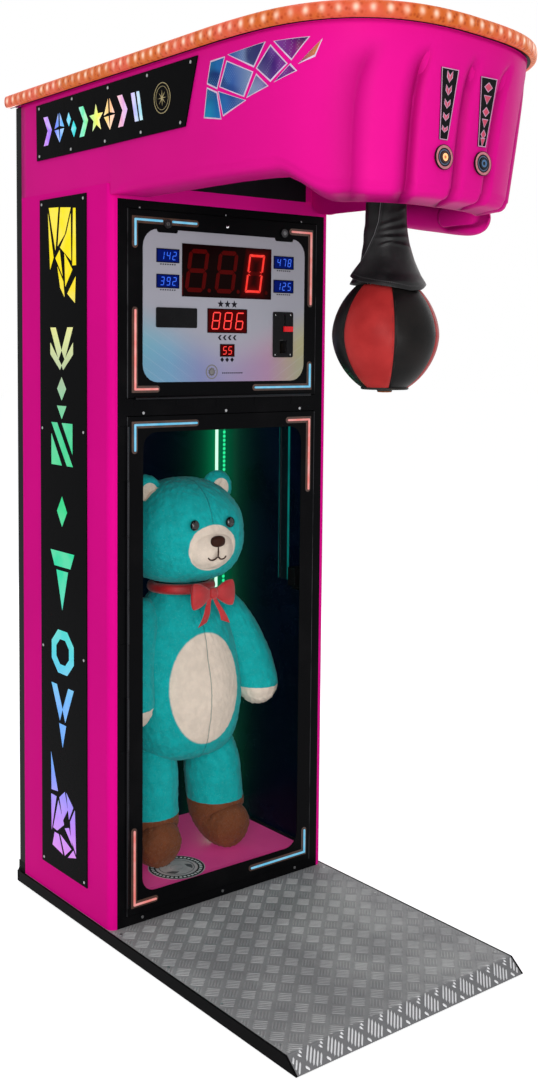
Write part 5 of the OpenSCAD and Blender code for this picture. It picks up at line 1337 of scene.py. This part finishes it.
def roundForm(centre, size, rows=36, cols=48, squareness=2.0):
    # ellipsoid |x/a|^n + |y/b|^n + |z/c|^n = 1 along each ray from its middle
    p = np.linspace(0, np.pi, rows)[:, None]
    a = aroundOnce(cols)[None]
    ray = np.stack([np.sin(p) * np.cos(a), np.sin(p) * np.sin(a), np.cos(p) + 0 * a], -1)
    scale = (np.abs(ray / np.array(size)) ** squareness).sum(-1) ** (-1 / squareness)
    return ray * scale[..., None] + centre


def dented(grid, hollows):
    # presses or raises round hollows: amount exp(-(distance / reach)^2) along the line from the middle
    middle = grid.reshape(-1, 3).mean(0)
    out = unit(grid - middle)
    for spot, reach, amount in hollows:
        d = np.linalg.norm(grid - np.array(spot), axis=-1)
        grid = grid + out * (amount * np.exp(-(d / reach) ** 2))[..., None]
    return grid


def tufted(grid, size=1.0, waves=34):
    # short pile in soft tufts: the surface moves along its normal by a sum of seeded sine waves, 9 to 24 mm long
    local = np.random.default_rng(11)
    kick = local.normal(size=(waves, 3))
    kick *= (2 * np.pi / local.uniform(9, 24, waves) / np.linalg.norm(kick, axis=1))[:, None]
    phase = local.uniform(0, 2 * np.pi, waves)
    amount = np.sin(grid @ kick.T + phase).sum(-1) / math.sqrt(waves / 2)
    down, around = np.gradient(grid, axis=0), np.roll(grid, -1, 1) - np.roll(grid, 1, 1)
    normal = unit(np.cross(down, around))
    normal *= np.sign(((grid - grid.reshape(-1, 3).mean(0)) * normal).sum())
    grid = grid + normal * (0.65 * size * amount)[..., None]
    grid[[0, -1]] = grid[[0, -1]].mean(1, keepdims=True)
    return grid


def joined(grids):
    # one mesh of several tubes; a ring form, whose last row is its first, stays open
    points, faces, start = [], [], 0
    for grid in grids:
        if not np.allclose(grid[0], grid[-1]):
            # both ends drawn in to a point
            ends = grid[[0, -1]].mean(1, keepdims=True) + np.zeros_like(grid[:1])
            grid = np.concatenate([ends[:1], grid, ends[1:]])
        rows, cols = grid.shape[:2]
        points.append(grid.reshape(-1, 3))
        faces.append(gridFaces(rows, cols, False, True) + start)
        start += rows * cols
    return np.concatenate(points), np.concatenate(faces)


def plushPiece(name, grids, finish, node=None):
    points, faces = joined(grids)
    piece = makePiece(name, points + (0, bear["y"], bear["floor"]), faces, "machine", finish)
    if node:
        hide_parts(node)


def plushFinish(name, pelt, pale, paleMask, seam=None):
    # short pile: fine fibres over soft clumps, brushed lighter in patches
    f = Finish(name)
    clump = f.noise(38.0, 4.0, 0.6)
    pile = f.noise(420.0, 3.0, 0.65, at=f.shifted(scale=(1, 1, 0.45)))
    shade = f.rescale(clump, 0.36, 0.66)
    brushed = f.mix(shade, scaled(pelt, 0.84), pelt)
    colour = f.mix(paleMask(f), brushed, f.mix(shade, scaled(pale, 0.9), pale)) if paleMask else brushed
    colour = f.mix(f.rescale(pile, 0.3, 0.75) * 0.04, colour, (0.75, 0.95, 0.92))
    height = clump * 0.8 + pile * 0.5
    if seam:
        line = seam(f)
        colour = f.mix(line * 0.55, colour, scaled(pelt, 0.25))
        height = height - line * 1.4
    return f.skin(baseColor=colour, roughness=0.92, gloss=0.05, sheenWeight=0.1, sheenRoughness=0.45,
                  normal=f.bump(height, 0.0028, 0.5))


def oval(f, centre, size):
    # 1 inside an upright ellipse seen from the front
    x, z = (f.x - mm(centre[0])) / mm(size[0]), (f.z - mm(centre[1])) / mm(size[1])
    return f.fade(x * x + z * z, 0.96, 1.04) * (f.y < depthOf(bear["y"] - 6))


earX, earZ = bear["ear"]
teal, cream, brown = (0.0, 0.50, 0.50), (0.95, 0.80, 0.66), (0.20, 0.055, 0.016)
bodyPlush = plushFinish("bodyPlush", teal, cream, lambda f: oval(f, (0, bear["floor"] + 480), (112, 150)),
                        lambda f: f.fade(abs(f.x), 0.0007, 0.0022) * (f.y < depthOf(bear["y"])))


def palePatches(f):
    # the muzzle, and the inside of both ears, told from the head by their depth
    muzzlePatch = oval(f, (0, bear["floor"] + 866), (76, 62)) * (f.y < depthOf(bear["y"] - 110))
    inEars = [oval(f, (s * earX, bear["floor"] + earZ), (27, 27)) * (f.y > depthOf(bear["y"] - 33)) for s in (1, -1)]
    return muzzlePatch.most(inEars[0]).most(inEars[1])


headPlush = plushFinish("headPlush", teal, cream, palePatches,
                        lambda f: f.fade(abs(f.x), 0.0007, 0.0022) * (f.z > mm(bear["floor"] + 930)))
limbPlush = plushFinish("limbPlush", teal, cream, lambda f: (f.z < mm(bear["floor"] + 452)) * 1.0)
legPlush = plushFinish("legPlush", teal, brown, lambda f: (f.z < mm(bear["floor"] + 132)) * 1.0)
body = dented(plushForm(*bear["body"], rows=150, cols=270), [((0, -150, 560), 26, -5), ((90, -90, 330), 60, 5),
                                                             ((-90, -90, 330), 60, 5), ((0, -146, 470), 90, 6)])
headGrid = dented(plushForm(*bear["head"], rows=120, cols=260),
                  [((60, -150, 928), 22, -9), ((-60, -150, 928), 22, -9), ((0, -158, 945), 34, -5),
                   ((86, -120, 850), 50, 6), ((-86, -120, 850), 50, 6)])
muzzle = dented(roundForm(bear["muzzle"], bear["muzzleSize"], 70, 120, bear["muzzlePower"]),
                [((0, -176, 838), 12, -6), ((0, -178, 852), 10, -5)])
ears = [dented(roundForm((s * earX, -6, earZ), (49, 26, 47), 50, 80), [((s * earX, -36, earZ), 24, -12)])
        for s in (-1, 1)]
plushPiece("bearBody", [tufted(body)], bodyPlush, "bear_body")
plushPiece("bearHead", [tufted(headGrid), tufted(muzzle, 0.6), *(tufted(ear, 0.8) for ear in ears)], headPlush,
           "bear_head")
for side, word in sides:
    arm = dented(plushForm(*bear["arm"], side, 110, 110),
                 [((side * 160, -60, 520), 26, -4), ((side * 214, -130, 430), 16, 4)])
    plushPiece("bearArm" + word, [tufted(arm)], limbPlush, "bear_arm_" + word.lower())
    leg = tufted(dented(plushForm(*bear["leg"], side, 120, 130), [((side * 112, -70, 130), 30, -6)]))
    leg[..., 2] = np.maximum(leg[..., 2], 0.8)
    plushPiece("bearLeg" + word, [leg], legPlush, "bear_leg_" + word.lower())
print("plush done")

# face and ribbon
glassEye = plain("glassEye", (0.006, 0.005, 0.005), 0.06, edge=0.0, coatWeight=1.0)
noseBrown = plain("noseBrown", (0.045, 0.016, 0.010), 0.4, 600.0, 0.0006, edge=0.0)
plushPiece("bearEyes", [roundForm((s * 58, -150, 930), (13.5, 8.5, 14.5), 24, 32) for s in (-1, 1)], glassEye)
noseForm = dented(roundForm((0, -174, 886), (22, 11, 15), 30, 40, 2.4), [((0, -186, 880), 8, 2)])
plushPiece("bearNose", [noseForm], noseBrown)


def threadTube(path, radius, rows=60, cols=10):
    # an even tube that narrows at both ends
    t = np.linspace(0, 1, rows)
    narrowed = radius * np.clip(np.minimum(t, 1 - t) * 12, 0.02, 1) ** 0.5
    return tubeRound(curveThrough(path, rows), narrowed, cols, (0.13, 0.31, 0.94))


def onMuzzle(x, z):
    # depth of the muzzle's surface at a place on its front
    (_, midY, midZ), (a, b, c), p = bear["muzzle"], bear["muzzleSize"], bear["muzzlePower"]
    share = max(1 - (abs(x) / a) ** p - (abs(z - midZ) / c) ** p, 0) ** (1 / p)
    return (x, midY - b * share - 0.6, z)


mouth = [threadTube([onMuzzle(0, z) for z in (872, 858, 846)], 2.0, 30)]
mouth += [threadTube([onMuzzle(s * x, z) for x, z in ((0, 846), (10, 838), (22, 838), (30, 845))], 2.0)
          for s in (-1, 1)]
plushPiece("bearMouth", mouth, noseBrown)


def bowLoop(side):
    # ribbon loop: height grows from the knot outwards and rounds off, with two soft pleats
    rows, cols = 40, 48
    t = np.linspace(0, 1, rows)[:, None]
    a = aroundOnce(cols)[None]
    reach = side * (6 + 66 * t)
    end = roundedEnd((t - 0.86) / 0.14, 0.0004)
    high = (9 + 26 * np.sin(t * np.pi * 0.62) ** 1.2) * end
    thick = np.clip((5 + 9 * np.sin(t * np.pi) ** 0.8) * end, 0.3, None)
    pleat = 1 + 0.16 * np.cos(3 * a) * np.exp(-t * 2.4)
    x = reach + 0 * a
    z = 744 + high * np.sin(a) * pleat - 4 * t
    y = -150 - 4 * t + thick * np.cos(a) * pleat
    return np.stack([x, y, z], -1)


f = Finish("redRibbon")
weave = f.node("ShaderNodeTexWave", {"wave_type": "BANDS", "bands_direction": "Z"},
               {"Vector": f.where, "Scale": 420.0})
shade = f.cloud(18.0, 3.0, 0.35, 0.68)
redRibbon = f.skin(baseColor=f.mix(shade, (0.42, 0.004, 0.008), (0.62, 0.010, 0.014)), roughness=weave * 0.1 + 0.42,
                   sheenWeight=0.3, normal=f.bump(weave, 0.0004, 0.3))
band = plushForm([(0, -4, z) for z in (732, 735, 742, 752, 757, 759)], (86, 93, 97, 95, 90, 82), 0.92, rows=26,
                 cols=96)
inner = (band[::-1] - (0, -4, 0)) * (0.97, 0.97, 1) + (0, -4, 0)
band = np.concatenate([band, inner, band[:1]])
knot = dented(roundForm((0, -152, 744), (13, 13, 16), 28, 36, 2.6), [((0, -166, 744), 5, -2)])
tails = []
for s in (-1, 1):
    t, a = np.linspace(0, 1, 30)[:, None], aroundOnce(24)[None]
    x = s * (4 + 34 * t) + (5 + 10 * t) * np.cos(a)
    z = 738 - 74 * t + (-6 * s * np.cos(a)) * t + 0 * a
    y = -152 - 9 * t + 1.6 * np.sin(a) + 3 * np.sin(t * 7)
    tails.append(np.stack([x, y, z], -1))
plushPiece("bearRibbon", [band, bowLoop(-1), bowLoop(1), knot, *tails], redRibbon)
print("face and ribbon done")

# play buttons: rings of the bezels, caps and tapered plates told apart by their distance from the middle
play = dict(z=1885.0, startX=-82.5, recordX=42.5, seat=0.3, plateLow=1919.0, plateStep=23.0, plateSheet=2.0,
            cadCreases=(-282.5, -182.5, -57.5, 67.5, 192.5))


def cadCrease(x, z):
    # depth of the creases of the CAD wall, which the CAD plates lie on: 15 exp(-(distance / 12)^2)
    shift = 55 * np.exp(-(head["top"] - 22 - z) / 50)
    lines = [np.exp(-((x - c - shift) / 12) ** 2) for c in play["cadCreases"]]
    return 15 * belowRim(z) * np.max(lines, axis=0)


def plateWidth(z):
    return 23 + 26 * (z - play["plateLow"]) / (6 * play["plateStep"])


def wallFront(x, z):
    # the super-ellipse |x/a|^p + |y/b|^p = 1 at this place of the leaning wall, slanted
    height = (z - head["knuckleLow"]) / (head["top"] - head["knuckleLow"])
    grow = -head["lean"] * (1 - height) ** 1.2 - cadCrease(x, z)
    share = (1 - (np.abs(x) / (head["halfWidth"] + grow)) ** head["power"]) ** (1 / head["power"])
    y = head["widest"] - (head["bulge"] + grow) * share
    return y + slantAt(x, y)


def plateFront(centre, lift):
    # front of a tapered plate: the foremost of three places of the wall behind it
    def surface(x, z):
        foremost = np.min([wallFront(centre + i * plateWidth(z) / 2, z) for i in (-1, 0, 1)], axis=0)
        return np.stack([x, foremost - 2 * play["seat"] - play["plateSheet"] - lift, z], -1)
    return surface


f = Finish("playBezel")
radius = f.awayFrom(mm(play["startX"]), z=mm(play["z"])).least(f.awayFrom(mm(play["recordX"]), z=mm(play["z"])))
ringPart = f.z < 1.9105
lines = (radius > 0.0237).most(radius.within(0.0158, 0.0186)).most(radius < 0.0132)
mauve = f.mix(f.cloud(90.0, 2.0, 0.35, 0.65), (0.50, 0.17, 0.20), (0.60, 0.24, 0.26))
colour = f.mix(radius > 0.0160, (0.10, 0.13, 0.20), mauve)
colour = f.mix(lines, colour, (0.010, 0.008, 0.010))
colour = f.mix(ringPart, (0.007, 0.007, 0.008), colour)
dress(f.skin(baseColor=colour, roughness=0.28, gloss=0.04, normal=f.rounded(0.0006)), "button_plates")
f = Finish("startCap")
out = f.awayFrom(mm(play["startX"]), z=mm(play["z"]))
outer = out > 0.0078
core = f.mix(out.within(0.0034, 0.0078), (0.22, 0.012, 0.004), (1.0, 0.50, 0.22))
core = f.mix(outer, core, (0.02, 0.006, 0.004))
colour = f.mix(outer, (0.6, 0.2, 0.08), (0.03, 0.02, 0.02))
dress(f.skin(baseColor=colour, roughness=0.15, emissionColor=core, emissionStrength=1.1, gloss=0.2), "start_button")
f = Finish("recordCap")
out = f.awayFrom(mm(play["recordX"]), z=mm(play["z"]))
core = out.within(0.0040, 0.0080)
colour = f.mix(core, (0.008, 0.010, 0.014), (0.06, 0.13, 0.24))
shine = f.mix(core, (0, 0, 0), (0.01, 0.03, 0.07))
dress(f.skin(baseColor=colour, roughness=0.12, gloss=0.2, emissionColor=shine, emissionStrength=1.0), "record_button")
pinkLine = plain("pinkLine", (0.62, 0.36, 0.52), 0.35, edge=0.0)
redLine = plain("redLine", (0.55, 0.06, 0.12), 0.35, edge=0.0, emissionColor=(0.5, 0.05, 0.1), emissionStrength=0.15)


def plateArt(word, buttonX, glyphs):
    # a frame of lines 1.7 mm wide round the plate, and a column of marks, each a red shape inside a pink one
    centre, line = buttonX - 4, 1.7
    low, high = play["plateLow"], play["plateLow"] + 6 * play["plateStep"]

    def edgeX(z, side, inset):
        return centre + side * (plateWidth(z) / 2 - inset)

    border = []
    for side in (-1, 1):
        levels = np.linspace(low, high, 7)
        border += [((edgeX(p, side, 0), p), (edgeX(q, side, 0), q), (edgeX(q, side, line), q),
                    (edgeX(p, side, line), p)) for p, q in zip(levels[:-1], levels[1:])]
    for z0, z1 in ((low, low + line), (high - line, high)):
        border.append(((edgeX(z0, -1, 0), z0), (edgeX(z0, 1, 0), z0), (edgeX(z1, 1, 0), z1), (edgeX(z1, -1, 0), z1)))
    patches("plateFrame" + word, border, plateFront(centre, 0.45), "machine", pinkLine, toPlayer)
    outer, inner = [], []
    for kind, z in glyphs:
        w = plateWidth(z) * 0.26
        if kind == "chevron":
            # laid upright: its own across becomes up
            shapes = [[(b, a) for a, b in shape] for shape in chevron(0, 0, 2 * w, 15, w * 0.8)]
        elif kind == "rhombus":
            shapes = rhombus(0, 0, 2 * w, 18)
        else:
            shapes = [tri((-w, 8), (w, 8), (0, -8))]
        turned = [[(centre + a, z + b) for a, b in shape] for shape in shapes]
        outer += [widen(shape, 1.2) for shape in turned]
        inner += [shrink(shape, 1.2) for shape in turned]
    patches("plateMarks" + word, outer, plateFront(centre, 0.4), "machine", pinkLine, toPlayer, thickness=0.3)
    patches("plateMarksInner" + word, inner, plateFront(centre, 0.6), "machine", redLine, toPlayer, thickness=0.3)


plateArt("Start", play["startX"], [("chevron", z) for z in (2040, 2014, 1988, 1963, 1939)])
plateArt("Record", play["recordX"], [("rhombus", 2038), ("wedge", 2013), ("rhombus", 1989), ("wedge", 1966),
                                     ("rhombus", 1944), ("wedge", 1928)])
print("buttons done")

# small signs on the silver plate instead of words, and the small marks below the four targets
plateSign = dict(depth=-4.25, starZ=1609, chevronZ=1523, rhombusZ=1466, rowZ=1431.8, medal=(-49, 1435))


def dash(x, z, foot, high, lean):
    # a short slanted bar
    return [((x - foot, z - high), (x + foot, z - high), (x + foot + lean, z + high), (x - foot + lean, z + high))]


signs = []
for x in (-22, 0, 22):
    signs += starShape(x, plateSign["starZ"], 10.5, 4.6)
for x in (24, 8, -8, -24):
    signs += chevron(x, plateSign["chevronZ"], 12, 13, 6)
for x in (-16, 0, 16):
    signs += rhombus(x, plateSign["rhombusZ"], 12, 13)
for side, _ in sides:
    for z in counters["targetZ"]:
        for k in range(-3, 4):
            signs += dash(side * counters["targetX"] + 7 * k, z - 21.5, 2, 1.6, 0.6)
for k in range(11):
    signs += dash(6.2 * k - 14, plateSign["rowZ"], 1.7, 1.8, 0.5)
inkBlack = plain("inkBlack", (0.012, 0.010, 0.016), 0.4, edge=0.0)
patches("plateSigns", signs, onFace(plateSign["depth"]), "display_door", inkBlack, toPlayer, thickness=0.25)
medal = ringShape(*plateSign["medal"], 19, 15.5, 40) + ringShape(*plateSign["medal"], 8.5, 7.2, 24) \
    + starShape(*plateSign["medal"], 13, 9, 10)
medalGrey = plain("medalGrey", (0.20, 0.19, 0.19), 0.3, edge=0.0, metallic=0.5)
patches("plateMedal", medal, onFace(plateSign["depth"]), "display_door", medalGrey, toPlayer, thickness=0.25)


# folded skirt that closes the gap between the rear cover and the base
skirt = dict(foot=350.6, head=347.9, front=449.6, back=488.5, low=26.5, high=59.7, sheet=2.0)


def skirtLoop(half, z):
    # the skirt's three-sided plan at one height, out along its outside and back along its inside
    plan = [(-half, skirt["back"]), (-half, skirt["front"]), (half, skirt["front"]), (half, skirt["back"])]
    inside = [(x - math.copysign(skirt["sheet"], x), max(y, skirt["front"] + skirt["sheet"])) for x, y in plan]
    return [(x, y, z) for x, y in plan + inside[::-1]]


points = np.array([skirtLoop(skirt["foot"], skirt["low"]), skirtLoop(skirt["foot"], skirt["low"] + 6),
                   skirtLoop(skirt["head"], skirt["low"] + 12), skirtLoop(skirt["head"], skirt["high"])])
caps = [[a, b, 7 - b, 7 - a] for a, b in ((0, 1), (1, 2), (2, 3))]
faces = gridFaces(4, 8, False, True).tolist() + caps + [[v + 24 for v in face[::-1]] for face in caps]
skirtPiece = makePiece("rearSkirt", points.reshape(-1, 3), faces, "machine", blackPaint, soft=False)


# screw heads: a low dome with a cross slot pressed into it
def screwHeads(name, spots, body, finish, radius, high):
    rows, cols = 7, 20
    t = np.linspace(0, 1, rows)[:, None]
    a = aroundOnce(cols)[None]
    r = radius * np.sin(t * np.pi / 2)
    h = high * np.cos(t * np.pi / 2) ** 0.8
    slot = np.exp(-(r * np.sin(2 * a) / 0.9) ** 2) * (t < 0.6) * (t > 0.05) * 0.5
    dome = np.stack([r * np.cos(a), -(h - slot), r * np.sin(a)], -1)
    dome = np.concatenate([dome, dome[-1:] * 0]).reshape(-1, 3)
    points = (np.asarray(spots, float)[:, None] + dome[None]).reshape(-1, 3)
    faces = gridFaces(rows + 1, cols, False, True)[None] + (np.arange(len(spots)) * (rows + 1) * cols)[:, None, None]
    piece = makePiece(name, points, faces.reshape(-1, 4), body, finish)


screws = dict(coinPlate=[(185 + i * 26, -7.0, 1533 + j * 53) for i in (-1, 1) for j in (-1, 1)],
              door=[(-2, -4.0, 1807)], frame=[(x, -4.0, 1836.5) for x in (-269, -7, 246)])
darkSteel = metal("darkSteel", (0.28, 0.28, 0.29), 0.35)
screwHeads("coinPlateScrews", screws["coinPlate"], "display_door", chrome, 3.0, 1.5)
screwHeads("doorCentreScrew", screws["door"], "display_door", chrome, 4.2, 2.6)
screwHeads("frameScrews", screws["frame"], "machine", darkSteel, 2.4, 1.2)
print("details done")

# camera, lights and the white room
camera = dict(spot=(-1.970, -2.4515, 1.5031), yaw=0.6755, pitch=-0.0754, roll=0.0094, lens=42.2, shiftY=-0.0913)
yaw, pitch, roll = camera["yaw"], camera["pitch"], camera["roll"]
ahead = Vector((math.sin(yaw) * math.cos(pitch), math.cos(yaw) * math.cos(pitch), math.sin(pitch)))
right = Vector((math.cos(yaw), -math.sin(yaw), 0))
up = right.cross(ahead)
across = right * math.cos(roll) + up * math.sin(roll)
upright = up * math.cos(roll) - right * math.sin(roll)
lensData = bpy.data.cameras.new("camera")
lensData.sensor_fit, lensData.sensor_width, lensData.sensor_height = "VERTICAL", 36, 36
lensData.lens, lensData.shift_y = camera["lens"], camera["shiftY"]
viewer = bpy.data.objects.new("camera", lensData)
bpy.context.scene.collection.objects.link(viewer)
viewer.matrix_world = Matrix((across, upright, -ahead)).transposed().to_4x4()
viewer.matrix_world.translation = Vector(camera["spot"])
bpy.context.scene.camera = viewer


def softLight(name, spot, toward, size, watts, colour=(1, 1, 1)):
    data = bpy.data.lights.new(name, "AREA")
    data.shape, data.size, data.size_y = "RECTANGLE", size[0], size[1]
    data.energy, data.color = watts, colour
    light = bpy.data.objects.new(name, data)
    bpy.context.scene.collection.objects.link(light)
    away = Vector(spot) - Vector(toward)
    light.matrix_world = away.to_track_quat("Z", "Y").to_matrix().to_4x4()
    light.matrix_world.translation = Vector(spot)


# name, place, what it points at, size, watts
softLight("keyLight", (-3.2, -3.4, 2.3), (0, -0.2, 1.1), (1.8, 1.8), 74)
softLight("frontLight", (-1.7, -4.1, 0.75), (0, -0.4, 1.4), (1.6, 0.9), 44)
softLight("sideLight", (4.2, 0.2, 2.6), (0, -0.2, 1.0), (1.4, 1.8), 10)
softLight("backLight", (1.6, 4.4, 2.4), (0, 0.6, 1.1), (1.8, 1.8), 60)
softLight("caseLight", (0.255, 0.575, 0.72), (-0.1, 0.3, 0.72), (0.03, 1.1), 0.35, (0.1, 1.0, 0.35))
softLight("topLight", (-0.4, -0.2, 4.4), (0, 0, 1.0), (2.5, 2.5), 40)

scene = bpy.context.scene
scene.world = bpy.data.worlds.new("room")
room = NodeTree(scene.world, "ShaderNodeOutputWorld")
pale = room.node("ShaderNodeBackground", inputs={0: (0.95, 0.97, 1.0), 1: 0.42})
white = room.node("ShaderNodeBackground", inputs={0: (1.0, 1.0, 1.0), 1: 1.0})
room.finish(room.node("ShaderNodeMixShader", inputs={0: room.seenPlainly(), 1: pale, 2: white}))

# white floor that keeps the machine's shadow
floorMesh = bpy.data.meshes.new("ground")
floorMesh.from_pydata([(-30, -30, 0), (30, -30, 0), (30, 30, 0), (-30, 30, 0)], [], [(0, 1, 2, 3)])
ground = bpy.data.objects.new("ground", floorMesh)
bpy.context.scene.collection.objects.link(ground)
f = Finish("groundWhite")
gleam = f.node("ShaderNodeEmission", inputs={0: (1, 1, 1), 1: f.seenPlainly() * 0.68})
matt = f.node("ShaderNodeBsdfDiffuse", inputs={0: (0.8, 0.8, 0.8)})
f.finish(f.node("ShaderNodeAddShader", inputs={0: gleam, 1: matt}))
floorMesh.materials.append(f.material)
ground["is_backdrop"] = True

scene.view_settings.view_transform = "Standard"
low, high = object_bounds()
print("size now:", [round(v, 4) for v in low], [round(v, 4) for v in high])
